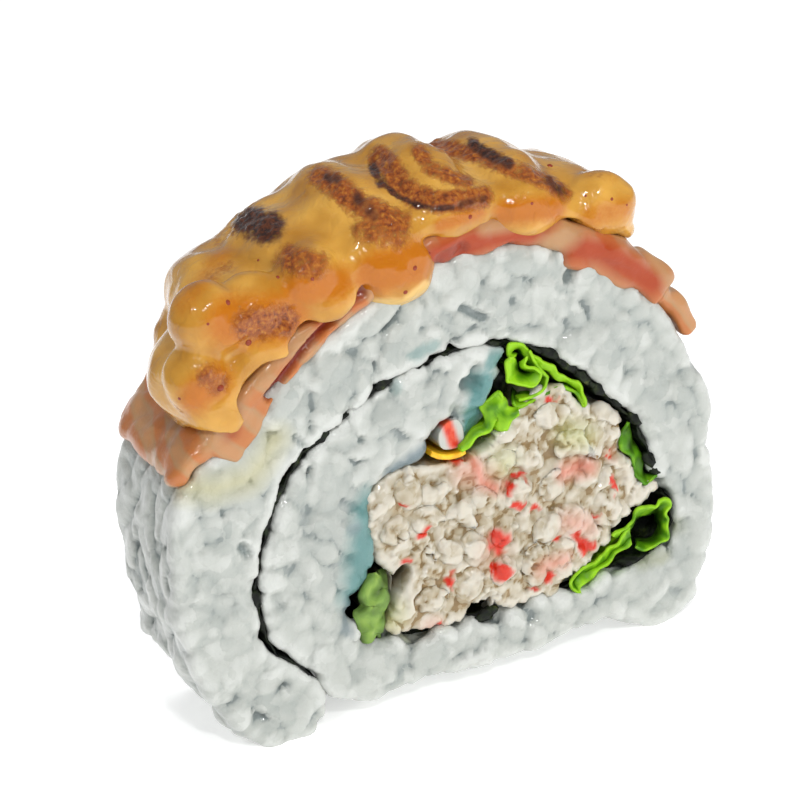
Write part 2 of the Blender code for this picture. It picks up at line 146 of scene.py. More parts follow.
# Rice
# Short-grain rice, steamed and vinegared, pressed into a sheet and rolled: wet, half see-through grains that
# stick together. Its cut faces and its side stand out in packed grains, each cut at its own level and lean.
RICE_VOXEL = 0.345 * MM
# Colours by depth: a painted highlight on raised rims, the rice's white, then grey painted shade in hollows
# and gaps.
RICE_RIM_HIGHLIGHT, RICE_WHITE, RICE_SHADE, RICE_GAP_SHADE = "#CCCEC9", "#B8BBB5", "#A4A9A4", "#828A88"
RICE_TINTS = [
    ("teal", "#5F8C8A"), ("slate", "#61747C"), ("pit", "#7F8A88"), ("olive", "#7C8050"), ("stain", "#C6BC7C"),
]

# The roll in millimetres: half its depth and its width's middle. Its back is narrower than its front.
HALF, MIDDLE_X, BACK_WIDTH = 8.5, 0.7, 0.95

# A grain in millimetres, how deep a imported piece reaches, and how many are thrown at a face and the side.
GRAIN_LENGTH, GRAIN_WIDTH, GRAIN_HEIGHT = 6.0, 2.4, 2.2
PIECE_DEPTH = 1.8
FACE_THROWS, SIDE_THROWS = 6000, 30000

# Points nearer than the weld are one, a ray starts again a hair past each hit, and rice stays off the ground.
WELD, HAIR = 0.002 * MM, 1e-6
ABOVE_GROUND = 0.02

evaluated = bpy.context.evaluated_depsgraph_get()
solids = {name: BVHTree.FromObject(solid, evaluated) for name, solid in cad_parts.items()}


def held(x, z, name):
    """Whether a place in the roll's middle section lies in a solid, and how far it is from its surface."""
    spot = Vector((x * MM, 0, z * MM))
    crossings, start = 0, spot.copy()
    while True:
        hit = solids[name].ray_cast(start, Vector((0, 0, 1)))[0]
        if hit is None:
            break
        crossings += 1
        start = hit + Vector((0, 0, HAIR))
    _, normal, _, distance = solids[name].find_nearest(spot)
    return crossings % 2 == 1, distance / MM, normal


def narrowed(x, y):
    """An x in the roll's middle section, in millimetres, as it is at the depth y."""
    share = (np.clip(y, -HALF, HALF) + HALF) / (2 * HALF)
    width = (1 + (BACK_WIDTH - 1) * share) / (1 + (BACK_WIDTH - 1) / 2)
    return MIDDLE_X + (x - MIDDLE_X) * width


def coordinates(piece):
    """A mesh's points as an array, in millimetres."""
    co = np.empty(len(piece.data.vertices) * 3)
    piece.data.vertices.foreach_get("co", co)
    return co.reshape(-1, 3) / MM


def set_coordinates(piece, co):
    """Puts a mesh's points where an array of millimetres says."""
    piece.data.vertices.foreach_set("co", (co * MM).ravel())
    piece.data.update()


def only(piece):
    """Selects one piece and makes it active."""
    bpy.ops.object.select_all(action="DESELECT")
    piece.select_set(True)
    bpy.context.view_layer.objects.active = piece
    return piece


def worked(piece, kind, **settings):
    """Adds a modifier to a piece and applies it."""
    only(piece)
    step = piece.modifiers.new(kind.lower(), kind)
    for key, value in settings.items():
        setattr(step, key, value)
    bpy.ops.object.modifier_apply(modifier=step.name)
    return piece


def melted(piece, voxel, smoothing):
    """Runs a piece's lumps together into one skin."""
    worked(piece, "REMESH", mode="VOXEL", voxel_size=voxel)
    return worked(piece, "SMOOTH", factor=0.5, iterations=smoothing)


def cad_copy(source, name):
    """A copy of a solid, its loose triangles merged."""
    piece = bpy.data.objects.new(name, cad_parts[source].data.copy())
    bpy.context.scene.collection.objects.link(piece)
    piece.data.materials.clear()
    only(piece)
    bpy.ops.object.mode_set(mode="EDIT")
    bpy.ops.mesh.select_all(action="SELECT")
    bpy.ops.mesh.remove_doubles(threshold=WELD)
    bpy.ops.object.mode_set(mode="OBJECT")
    return piece


def joined(pieces, name):
    """Joins pieces into one object that sits at the origin."""
    bpy.ops.object.select_all(action="DESELECT")
    for piece in pieces:
        piece.select_set(True)
    bpy.context.view_layer.objects.active = pieces[0]
    bpy.ops.object.join()
    bpy.ops.object.transform_apply(location=True, rotation=True, scale=True)
    bpy.context.object.name = name
    return bpy.context.object


def strewn(name, model, placements):
    """Copies of a model in one mesh. Each placement is a 4 by 4 matrix."""
    points = coordinates(model) * MM
    turns = np.array([np.array(place) for place in placements])
    where = np.einsum("nij,pj->npi", turns[:, :3, :3], points) + turns[:, None, :3, 3]
    steps = np.arange(len(placements))[:, None, None] * len(points)
    faces = []
    for corners in (4, 3):
        kind = [list(face.vertices) for face in model.data.polygons if len(face.vertices) == corners]
        if kind:
            faces += (np.array(kind)[None] + steps).reshape(-1, corners).tolist()
    mesh = bpy.data.meshes.new(name)
    mesh.from_pydata(where.reshape(-1, 3).tolist(), [], faces)
    piece = bpy.data.objects.new(name, mesh)
    bpy.context.scene.collection.objects.link(piece)
    bpy.data.objects.remove(model)
    return piece


def placed(centre, out, along, size=(1, 1, 1)):
    """A placement: where, which way is out of the surface, which way it lies, and its size."""
    out = Vector(out).normalized()
    along = Vector(along)
    along = (along - out * along.dot(out)).normalized()
    turn = Matrix((along, out.cross(along), out)).transposed() @ Matrix.Diagonal(size)
    return Matrix.Translation(Vector(centre) * MM) @ turn.to_4x4()


def grain_model():
    """One cooked grain: plump, blunt at one end, with the notch where its germ was at the other."""
    bpy.ops.object.select_all(action="DESELECT")
    bpy.ops.mesh.primitive_uv_sphere_add(segments=12, ring_count=9, radius=1, rotation=(0, pi / 2, 0))
    bpy.ops.object.transform_apply(rotation=True)
    grain = bpy.context.object
    co = coordinates(grain) * MM
    co[:, 1:] *= (1 - 0.25 * np.abs(co[:, 0:1]) ** 3)
    notch = (co[:, 0] > 0.8) & (co[:, 2] > 0.1)
    co[notch] *= 0.82
    co[:, 2] -= 0.12 * co[:, 0] ** 2
    co *= np.array([GRAIN_LENGTH, GRAIN_WIDTH, GRAIN_HEIGHT]) / 2
    set_coordinates(grain, co)
    return grain


def packing(draw, throws, spots, spacing):
    """Throws pieces one by one onto a surface, and keeps each that lies at least the spacing from the others.
    Each gets the level that it lies at and the way its cut top leans."""
    kept, centres = [], np.empty((0, 3))
    for _ in range(throws):
        throw = spots(draw)
        if throw is None:
            continue
        centre, out, along, size = throw
        if len(centres) and np.linalg.norm(centres - np.array(centre), axis=1).min() < spacing:
            continue
        centres = np.vstack([centres, centre])
        out = out.normalized()
        along = (along - out * along.dot(out)).normalized()
        axes = [along / size[0], out.cross(along) / size[1], out / size[2]]
        level, leans = draw.uniform(-1, 1), (draw.gauss(0, 1), draw.gauss(0, 1))
        kept.append([*centre, *axes[0], *axes[1], *axes[2], level, *leans])
    return np.array(kept)


def packed(co, pieces, bulge, levels, lean):
    """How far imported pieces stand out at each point, in millimetres, and the number of the one on top."""
    height, top, at_once = np.empty(len(co)), np.empty(len(co), int), 3000
    for start in range(0, len(co), at_once):
        part = co[start:start + at_once]
        along, across, up = (
            part @ pieces[:, k:k + 3].T - (pieces[:, :3] * pieces[:, k:k + 3]).sum(axis=1) for k in (3, 6, 9)
        )
        reach = along ** 2 + across ** 2 + up ** 2
        level = levels * pieces[:, 12] + lean * (pieces[:, 13] * along + pieces[:, 14] * across)
        level += bulge * (1 - reach ** 2)
        level[reach > 1.4] = -bulge - levels
        top[start:start + at_once] = level.argmax(axis=1)
        height[start:start + at_once] = level.max(axis=1)
    return height, top


def face_spot(side, name, half_long, half_wide):
    """A rule that throws a piece flat on a cut face of a solid."""
    low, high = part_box(name)

    def spot(draw):
        x, z = draw.uniform(low.x, high.x) / MM, draw.uniform(low.z, high.z) / MM
        within, clear, _ = held(x, z, name)
        if not within and clear > 0.4:
            return None
        angle = draw.uniform(0, 2 * pi)
        out = Vector((draw.gauss(0, 0.15), side, draw.gauss(0, 0.15)))
        size = [draw.uniform(*half_long), draw.uniform(*half_wide), PIECE_DEPTH]
        centre = Vector((narrowed(x, HALF * side), HALF * side, z))
        return centre, out, Vector((cos(angle), 0, sin(angle))), size

    return spot


rice_low, rice_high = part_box("rice")


def side_spot(draw):
    """Throws a grain on the roll's outer side."""
    x, z = draw.uniform(rice_low.x, rice_high.x) / MM, draw.uniform(0.2, rice_high.z / MM)
    within, clear, out = held(x, z, "rice")
    if not within or clear > 0.6 or min(held(x, z, name)[1] for name in ("nori", "crab_salad")) < 3:
        return None
    y = draw.uniform(-HALF, HALF)
    angle = draw.gauss(0.2, 0.6)
    along = Vector((0, 1, 0)) * sin(angle) + out.cross(Vector((0, 1, 0))) * cos(angle)
    size = [draw.uniform(1.8, 3.4), draw.uniform(1.0, 1.5), PIECE_DEPTH]
    return Vector((narrowed(x, y), y, z)) + out * clear, out, along, size


def along_line(draw, points, apart, y):
    """Grains along a line of (x, z) points at one depth, on it and to its left, turned a little off it."""
    kept = []
    for a, b in zip(points, points[1:]):
        a, b = Vector(a), Vector(b)
        for k in range(max(1, round((b - a).length / apart))):
            spot = a.lerp(b, (k + draw.random()) * apart / max((b - a).length, apart))
            turn = Matrix.Rotation(draw.gauss(0, 0.5), 2) @ (b - a)
            aside = Vector((a.y - b.y, b.x - a.x)).normalized() * draw.uniform(-0.3, 1.9)
            spot += aside
            x = narrowed(spot.x + MIDDLE_X, y)
            size = [draw.uniform(0.45, 0.8), draw.uniform(0.75, 0.95), draw.uniform(0.8, 1.0)]
            out = (draw.gauss(0, 0.2), y, draw.gauss(0, 0.2))
            kept.append(placed((x, y, spot.y), Vector(out), (turn.x, 0, turn.y), size))
    return kept


def below_smoothed(piece, passes):
    """How far each point lies below the piece's own surface once that is smoothed, in millimetres."""
    smooth = bpy.data.objects.new("smoothed", piece.data.copy())
    bpy.context.scene.collection.objects.link(smooth)
    worked(smooth, "SMOOTH", factor=0.5, iterations=passes)
    rise = coordinates(smooth) - coordinates(piece)
    bpy.data.objects.remove(smooth)
    return (rise * normals_of(piece)).sum(axis=1)


def normals_of(piece):
    """The outward direction at each of a mesh's points, as an array."""
    flat = np.empty(len(piece.data.vertices) * 3)
    piece.data.vertices.foreach_get("normal", flat)
    return flat.reshape(-1, 3)


def rough(co, size, amount, seed=0):
    """Smooth noise for every point, between minus and plus the amount. Its lumps are of the given size."""
    shift = Vector((seed * 7.3, seed * 3.1, seed * 5.7))
    return amount * np.array([noise.noise(Vector(p) / size + shift) for p in co])


def bent(co, broad, fine):
    """Points moved by a broad and a fine noise, each given as its size and its amount."""
    return co + np.stack([rough(co, *broad, k) + rough(co, *fine, k + 4) for k in range(3)], 1)


def press(co, level, give):
    """Eases back what stands out past a level on either cut face, as the knife presses it."""
    over = np.abs(co[:, 1]) - level
    eased = level + give * (1 - np.exp(-np.clip(over, 0, None) / give))
    co[:, 1] = np.where(over > 0, np.sign(co[:, 1]) * eased, co[:, 1])


def toward_marks(u, w, marks, soft):
    """1 within the marks and 0 away from them. A mark is a line of points, its half width and strength."""
    value = np.zeros(len(u))
    for points, wide, strength in marks:
        points = np.array(points, float).reshape(-1, 2)
        ends = points[1:] if len(points) > 1 else points
        away = np.full(len(u), 1e9)
        for a, b in zip(points, ends):
            step = b - a
            share = ((u - a[0]) * step[0] + (w - a[1]) * step[1]) / max(step @ step, 1e-9)
            share = np.clip(share, 0, 1)
            away = np.minimum(away, np.hypot(u - a[0] - share * step[0], w - a[1] - share * step[1]))
        value = np.maximum(value, strength * np.clip((1 + soft - away / wide) / (2 * soft), 0, 1))
    return value


def write_attribute(piece, name, value):
    """Keeps a value for each point in the mesh, where the material reads it."""
    made = piece.data.attributes.new(name, "FLOAT", "POINT")
    made.data.foreach_set("value", np.asarray(value, np.float32))


def finished(piece, finish, slot, *replaced):
    """Gives a piece its material, rides it on the roll and hides the solids that it stands for."""
    piece.data.materials.clear()
    piece.data.materials.append(finish)
    only(piece)
    bpy.ops.object.shade_smooth()
    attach(piece, "root")
    if replaced:
        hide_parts(*replaced)


def cells_of(tree, place, bend_size, bend, cell_size):
    """A random tint for each cell of a pattern of uneven facets. The sizes are in millimetres."""
    warp = node(tree, "ShaderNodeTexNoise", {"Scale": 1 / (bend_size * MM), "Detail": 3.0}, {"Vector": place})
    warped = node(
        tree,
        "ShaderNodeVectorMath",
        {"operation": "MULTIPLY_ADD", 1: (bend * MM, bend * MM, bend * MM)},
        {0: warp.outputs["Color"], 2: place},
    ).outputs["Vector"]
    cells = node(tree, "ShaderNodeTexVoronoi", {"Scale": 1 / (cell_size * MM)}, {"Vector": warped})
    return cells.outputs["Color"]


def shaded_by_depth(tree, cells, milk_share, cell_share, ramp):
    """The colour for how deep a place lies, shifted by a share of its piece's milkiness and of its cell's:
    painted shade where a place lies deep, and a painted highlight where it stands out.
    """
    value = node(tree, "ShaderNodeAttribute", {"attribute_name": "relief"}).outputs["Fac"]
    milk = node(tree, "ShaderNodeAttribute", {"attribute_name": "milk"}).outputs["Fac"]
    for share, more in ((milk_share, milk), (cell_share, cells)):
        added = node(tree, "ShaderNodeMath", {"operation": "MULTIPLY_ADD", 1: share}, {0: more, 2: value})
        value = added.outputs["Value"]
    return node(tree, "ShaderNodeValToRGB", {"ramp": ramp}, {"Fac": value}).outputs["Color"]


def tinted(tree, base, tints):
    """Lays tints over a colour, each where the piece's attribute of that name says."""
    for name, colour in tints:
        spread = node(tree, "ShaderNodeAttribute", {"attribute_name": name}).outputs["Fac"]
        mixed = node(tree, "ShaderNodeMixRGB", {"Color2": linear(colour)}, {"Fac": spread, "Color1": base})
        base = mixed.outputs["Color"]
    return base


def skinned(tree, shader, colour, height, strength, depth):
    """Gives a shader its colour, and a skin as uneven as the height says and so many millimetres deep."""
    tree.links.new(colour, shader.inputs["Base Color"])
    skin = node(tree, "ShaderNodeBump", {"Strength": strength, "Distance": depth * MM}, {"Height": height})
    tree.links.new(skin.outputs["Normal"], shader.inputs["Normal"])


def cooked_rice():
    """Steamed rice: swollen wet starch. Light goes a millimetre into each grain, so its shadows are soft,
    each cut facet has its own milkiness, and its wet skin glistens. Raised rims get a painted highlight and
    hollows a grey painted shade."""
    finish, tree, shader = new_material("cooked rice", {
        "Roughness": 0.3,
        "IOR": 1.38,
        "Subsurface Weight": 0.45,
        "Subsurface Radius": (1.0, 1.0, 1.0),
        "Subsurface Scale": 0.6 * MM,
        "Coat Weight": 0.5,
        "Coat Roughness": 0.08,
    })
    place = node(tree, "ShaderNodeTexCoord", {}).outputs["Object"]
    facets = cells_of(tree, place, bend_size=1.5, bend=1.6, cell_size=1.8)
    # Raised rims get a painted highlight, and hollows and gaps a grey painted shade.
    ramp = [(0.4, RICE_RIM_HIGHLIGHT), (0.62, RICE_WHITE), (0.86, RICE_SHADE), (1.15, RICE_GAP_SHADE)]
    base = tinted(tree, shaded_by_depth(tree, facets, milk_share=0.22, cell_share=0.2, ramp=ramp), RICE_TINTS)
    grit = {"Scale": 1 / (0.6 * MM), "Detail": 5.0, "Roughness": 0.6}
    fine = node(tree, "ShaderNodeTexNoise", grit, {"Vector": place}).outputs["Fac"]
    broken = node(tree, "ShaderNodeMath", {"operation": "MULTIPLY_ADD", 1: 1.5}, {0: facets, 2: fine})
    skinned(tree, shader, base, broken.outputs["Value"], strength=0.8, depth=0.22)
    return finish


# The tint that seaweed leaves in wet rice, painted shade in hollows between grains, stains, and pits in
# the cut face, which are pushed in and also get a grey painted shade.
# A mark is a line of places on the cut face, its half width, and its strength or depth.
TEAL_MARKS = [
    ([(-11.6, 12.4), (-10.6, 15.5), (-10.0, 18.0), (-9.0, 20.6)], 1.7, 0.95),
    ([(2.2, 25.0), (2.6, 27.4), (3.6, 29.2)], 1.3, 1.0),
    ([(4.6, 30.9), (5.6, 31.1)], 0.8, 0.9),
    ([(-3.4, 33.8), (-1.2, 34.2)], 0.5, 0.5),
    ([(-5.2, 31.0)], 0.5, 0.4),
]
SLATE_MARKS = [
    ([(-6.4, 23.0), (-4.2, 23.8), (-2.4, 24.8)], 0.9, 0.9),
    ([(-13.2, 9.2), (-12.6, 12.0)], 0.5, 0.6),
    ([(-11.2, 18.9)], 0.6, 0.5),
]
STAIN_MARKS = [([(-27.0, 27.4), (-24.0, 26.4), (-20.4, 26.6), (-17.6, 29.4)], 1.2, 0.45)]
OLIVE_MARKS = [
    ([(-6.4, 6.7), (-3.6, 6.8)], 0.6, 0.7),
    ([(18.0, 6.6), (21.0, 7.0)], 0.5, 0.5),
    ([(22.2, 9.4)], 0.8, 0.5),
]
PITS = [
    ([(1.6, 29.6), (2.8, 29.4)], 0.8, 2.2),
    ([(13.2, 37.0), (14.4, 38.4)], 0.6, 1.4),
    ([(2.0, 37.0), (4.2, 35.4)], 0.5, 1.3),
    ([(-22.2, 20.2), (-21.8, 19.4)], 0.6, 1.4),
    ([(-15.8, 29.0), (-14.8, 28.0)], 0.35, 1.0),
    ([(-9.4, 27.2)], 0.5, 0.9),
    ([(7.2, 36.4)], 0.5, 0.8),
    ([(-20.6, 26.2)], 0.4, 0.8),
]

# Where grains lie over the seaweed's cut edge and hide it: its inner turn, its start and along the base.
COVERED = [
    [(-13.2, 10.2), (-12.4, 13.0), (-11.2, 15.1), (-10.2, 17.6), (-10.3, 20.0), (-9.6, 22.2), (-7.0, 23.5)],
    [(-7.0, 23.5), (-4.3, 24.2), (-2.4, 25.8), (-1.0, 27.4), (1.2, 27.9)],
    [(15.6, 6.4), (11.0, 5.8), (6.0, 5.5), (3.0, 5.4)],
    [(-0.6, 5.4), (-4.0, 5.5), (-8.4, 6.1), (-11.8, 6.9)],
    [(20.6, 15.4), (21.6, 13.2)],
    [(3.4, 25.4), (3.6, 27.0), (4.2, 28.8)],
    [(2.6, 24.8), (2.6, 26.4), (3.0, 27.8)],
    [(-9.9, 12.8), (-9.4, 15.5), (-8.9, 18.0), (-8.2, 20.6)],
    [(-12.8, 8.0), (-12.5, 11.2), (-11.9, 13.4)],
]

# Where the cut face has fused smooth.
CALM = [
    ([(-25.4, 12.0), (-26.0, 20.0), (-23.6, 27.0)], 4.0, 0.6),
    ([(24.0, 12.0), (24.6, 20.0), (21.0, 29.0), (14.0, 34.0)], 4.0, 0.6),
    ([(16.0, 4.0), (23.0, 4.5)], 3.0, 0.6),
]

draw = random.Random(5)
grains = []
for side in (-1, 1):
    for line in COVERED:
        for sunk in (0.9, 1.9, 3.0):
            grains += along_line(draw, line, 1.0, side * (HALF - sunk))
rice = joined([cad_copy("rice", "rice_core"), strewn("grains", grain_model(), grains)], "cooked_rice")
melted(rice, RICE_VOXEL, smoothing=8)
co = coordinates(rice)
on_top = []
for side in (-1, 1):
    grain_spot = face_spot(side, "rice", (1.5, 3.2), (1.0, 1.5))
    on_top.append(packing(draw, FACE_THROWS, grain_spot, spacing=1.7))
on_top.append(packing(draw, SIDE_THROWS, side_spot, spacing=1.9))
warped = bent(co, (1.4, 0.4), (0.5, 0.16))
height, top = packed(warped, np.vstack(on_top), bulge=0.36, levels=0.3, lean=0.2)
u, w = co[:, 0] - MIDDLE_X, co[:, 2]
at_cut = np.clip((np.abs(co[:, 1]) - HALF + 2.0) / 1.5, 0, 1)
spots = [Vector(p) * MM for p in co * (1, 0, 1)]
seam = [min(solids[name].find_nearest(spot)[3] for name in ("nori", "crab_salad")) for spot in spots]
loose = np.maximum(at_cut, np.clip(np.array(seam) / MM - 2, 0, 1))
strength = loose * (1 - toward_marks(u, w, CALM, 0.8) * 0.5)
co += normals_of(rice) * (strength * height + loose * rough(co, 0.9, 0.08, 11))[:, None]
press(co, level=HALF + 0.2, give=0.8)
at_front = np.clip((-co[:, 1] - 5) / 2, 0, 1)
for points, wide, deep in PITS:
    pit = toward_marks(co[:, 0] - MIDDLE_X, co[:, 2], [(points, wide * 0.7, 1)], 0.5)
    co[:, 1] += 0.5 * deep * at_front * pit
co[:, 2] = np.maximum(co[:, 2], ABOVE_GROUND)
set_coordinates(rice, co)
milk = np.array([draw.uniform(0, 1) for _ in range(sum(len(part) for part in on_top))])
# How deep each point lies, which the material turns into painted shade and a painted highlight.
write_attribute(rice, "relief", np.clip(0.5 + below_smoothed(rice, 30) / 0.9, 0, 1))
write_attribute(rice, "milk", milk[top])
write_attribute(rice, "stain", at_front * toward_marks(u, w, STAIN_MARKS, 0.9))
u, w = warped[:, 0] - MIDDLE_X, warped[:, 2]
write_attribute(rice, "teal", toward_marks(u, w, TEAL_MARKS, 0.5))
# Slate is painted shade in hollows between grains, and the pit tint is painted shade in the pits.
write_attribute(rice, "slate", toward_marks(u, w, SLATE_MARKS, 0.5))
write_attribute(rice, "olive", at_front * toward_marks(u, w, OLIVE_MARKS, 0.8))
write_attribute(rice, "pit", at_front * toward_marks(u, w, [(p, r * 0.6, 0.5) for p, r, _ in PITS], 0.6))
finished(rice, cooked_rice(), "rice", "rice")

# Seaweed
# Nori: red algae shredded, dried on mats and toasted into a brittle sheet, here gone soft and almost black
# in the wet rice. It keeps the sheet's form, with a frayed edge at each cut.
NORI_BLACK, NORI_GREEN, NORI_OLIVE = "#0B0F0A", "#1D2612", "#4A5320"

# Lumps of torn seaweed that show at the cut: where, how long, how wide, and their turn in degrees.
NORI_LUMPS = [
    (-18.4, 22.9, 2.0, 1.0, 60), (-21.0, 14.5, 2.2, 1.3, 80), (-12.7, 28.3, 1.8, 1.2, 35),
    (-6.2, 31.7, 2.0, 1.1, 20), (-14.0, 8.0, 2.6, 0.9, 0), (1.4, 6.5, 2.6, 1.1, 15),
    (10.6, 30.2, 2.6, 1.2, -35), (12.2, 28.6, 2.6, 1.2, -45), (13.6, 27.0, 2.2, 1.0, -50),
    (15.2, 25.4, 1.8, 1.4, -40), (16.8, 23.6, 1.6, 0.8, -50), (18.6, 21.4, 2.0, 0.9, -60),
    (19.8, 17.0, 2.0, 1.4, -60), (20.4, 15.8, 1.6, 1.2, -20),
]

# Dark sheets deep in the clefts of the filling, which give them painted shade: where, how long and how high.
# They are set off to the right and down, because the clefts are seen from the upper left.
SHADE_SHEETS_IN_CLEFTS = [
    (5.4, 28.6, 3.4, 4.4), (2.4, 23.2, 2.6, 1.6), (-7.4, 11.6, 2.4, 4.4), (19.2, 10.2, 4.0, 3.4),
    (19.6, 16.6, 1.8, 3.0),
]
LUMP_DEPTH, SHADE_SHEET_DEPTH = 1.1, 11
SHADE_SHEET_RIGHT, SHADE_SHEET_DOWN = 1.4, 1.2


def at_turn(turn):
    """The direction on the cut face that is turned so many degrees from level."""
    return Vector((cos(radians(turn)), 0, sin(radians(turn))))


def lump_model(seed, size, uneven):
    """A torn lump: uneven, with flat sides."""
    bpy.ops.object.select_all(action="DESELECT")
    bpy.ops.mesh.primitive_ico_sphere_add(subdivisions=2, radius=1)
    lump = bpy.context.object
    bpy.ops.object.mode_set(mode="EDIT")
    bpy.ops.mesh.select_all(action="SELECT")
    bpy.ops.transform.vertex_random(offset=uneven, uniform=0.6, normal=0.4, seed=seed)
    bpy.ops.object.mode_set(mode="OBJECT")
    set_coordinates(lump, coordinates(lump) * MM * np.array(size) / 2)
    return lump


nori = cad_copy("nori", "seaweed_sheet")
only(nori)
bpy.ops.object.mode_set(mode="EDIT")
bpy.ops.mesh.select_all(action="SELECT")
bpy.ops.mesh.subdivide(number_cuts=3)
bpy.ops.object.mode_set(mode="OBJECT")
co = coordinates(nori)

# The sheet's cut edge is drawn back where grains cover it, wavers, and is worn thin.
edge = np.clip((np.abs(co[:, 1]) - HALF + 1.5) / 1.5, 0, 1)
hidden = toward_marks(co[:, 0] - MIDDLE_X, co[:, 2], [(line, 0.9, 1) for line in COVERED], 0.3)
co[:, 1] -= np.sign(co[:, 1]) * edge * (0.2 + 1.6 * hidden + rough(co, 1.1, 0.7))
co[:, 0] += rough(co, 1.6, 0.3, 1)
co[:, 2] += rough(co, 1.6, 0.3, 2)
thinned = np.clip(0.16 - rough(co, 1.4, 0.3, 3), 0, 0.3) * edge
co -= normals_of(nori) * (1, 0, 1) * thinned[:, None]
set_coordinates(nori, co)
torn = []
for x, z, long, wide, turn in NORI_LUMPS:
    for side in (-1, 1):
        centre = (narrowed(x + MIDDLE_X, side * HALF), side * (HALF - 0.35), z)
        torn.append(placed(centre, (0, side, 0), at_turn(turn), (long, wide, LUMP_DEPTH)))
# Dark sheets set into the clefts as painted shade, joined with the seaweed.
for x, z, long, high in SHADE_SHEETS_IN_CLEFTS:
    centre = (x + MIDDLE_X + SHADE_SHEET_RIGHT, 0, z - SHADE_SHEET_DOWN)
    torn.append(placed(centre, (0, 1, 0), (1, 0, 0), (long, high, SHADE_SHEET_DEPTH)))


def toasted_nori():
    """Toasted seaweed sheet: matte, black-green, with a felted surface of fine fibres."""
    finish, tree, shader = new_material("toasted nori", {"Roughness": 0.55, "Specular IOR Level": 0.3})
    place = node(tree, "ShaderNodeTexCoord", {}).outputs["Object"]
    felt = node(tree, "ShaderNodeTexNoise", {"Scale": 1 / (0.8 * MM), "Detail": 6.0}, {"Vector": place})
    colour = node(
        tree,
        "ShaderNodeValToRGB",
        {"ramp": [(0.45, NORI_BLACK), (0.62, NORI_GREEN), (0.8, NORI_OLIVE)]},
        {"Fac": felt.outputs["Fac"]},
    )
    skinned(tree, shader, colour.outputs["Color"], felt.outputs["Fac"], strength=0.9, depth=0.25)
    return finish


seaweed = joined([nori, strewn("seaweed_and_shade_sheets", lump_model(4, (1, 1, 1), 0.2), torn)], "seaweed")
finished(seaweed, toasted_nori(), "nori", "nori")

# Crab salad
# Shredded crab stick in mayonnaise: soft white fish chunks of one to three millimetres, pink where their red
# skin has bled, under a creamy film. Its cut faces stand out in packed chunks and a few long pieces of fish.
CRAB_VOXEL = 0.23 * MM
# Colours by depth: pale chunks with a painted highlight where they stand out, cream, then painted shade in
# hollows and gaps.
CRAB_PALE_AND_HIGHLIGHT, CRAB_CREAM, CRAB_SHADE, CRAB_GAP_SHADE = "#CCC6B8", "#B4A992", "#A08E6E", "#8E7650"
# The last colour here is painted shade for the clefts.
CRAB_PINK, CRAB_GREEN, SKIN_RED, CLEFT_SHADE = "#D4836F", "#B9BE7A", "#CC2C12", "#151A10"
CHUNK_THROWS, SHARD_LEVEL, CLEFT_DEPTH = 9000, 1.4, 3.2

# Where the fish is pink from the dyed skin and green from the leaves.
PINK_MARKS = [
    ([(10.8, 18.3), (13.2, 18.4)], 0.8, 0.8),
    ([(1.6, 22.0), (2.2, 19.8), (3.4, 18.8)], 0.6, 0.8),
    ([(7.4, 9.6), (9.6, 9.8)], 0.8, 0.6),
    ([(10.8, 13.4), (12.6, 12.4)], 1.0, 0.5),
    ([(0.6, 21.2), (2.6, 20.2)], 1.1, 0.45),
    ([(4.6, 18.6)], 0.7, 0.5),
    ([(-4.4, 6.8)], 0.9, 0.4),
    ([(16.0, 18.8)], 0.6, 0.35),
    ([(2.6, 12.6)], 1.5, 0.25),
]
GREEN_MARKS = [([(11.6, 22.2), (13.0, 21.6)], 1.2, 0.5), ([(-9.0, 9.4)], 1.5, 0.6), ([(4.8, 21.2)], 1.2, 0.4)]

# Clefts between the salad and the leaves, which no chunk fills: pushed in, with painted shade down in them.
CLEFTS = [
    ([(4.8, 26.6), (5.6, 28.6), (5.2, 30.0)], 1.0, 1.0),
    ([(1.5, 23.0), (3.2, 23.4)], 0.6, 1.0),
    ([(-8.6, 10.2), (-6.6, 13.0)], 0.6, 1.0),
    ([(17.4, 9.6), (20.4, 10.6)], 1.7, 1.0),
]

# Chips of the crab stick's dyed skin on the cut face: where, how long, how wide, and their turn in degrees.
CHIPS = [
    (3.1, 13.3, 2.5, 1.6, 80), (11.7, 11.4, 2.0, 1.0, 110), (12.4, 10.4, 1.6, 1.0, 20),
    (10.2, 25.6, 0.8, 0.7, 0), (7.4, 15.6, 1.1, 0.9, 10), (5.6, 16.7, 1.7, 0.7, -10),
    (6.1, 19.1, 1.2, 0.6, -20), (3.0, 10.5, 1.4, 0.8, -20), (8.2, 8.3, 1.6, 1.0, 20),
    (15.9, 15.7, 1.4, 0.6, 110), (16.0, 18.6, 1.0, 0.4, 10), (16.7, 11.0, 1.0, 0.6, 20),
    (-4.2, 16.9, 1.4, 0.8, 60), (-2.0, 11.0, 1.6, 0.9, 70), (-5.8, 19.8, 1.0, 0.6, -20),
    (-6.3, 14.1, 0.9, 0.6, 0), (-3.6, 6.7, 1.2, 0.8, -50), (0.3, 22.7, 1.2, 0.8, 30),
    (6.5, 7.8, 0.6, 0.5, 0), (13.6, 13.2, 0.5, 0.4, 0), (4.9, 18.3, 1.0, 0.5, 100),
    (9.2, 12.0, 0.6, 0.5, 0),
]

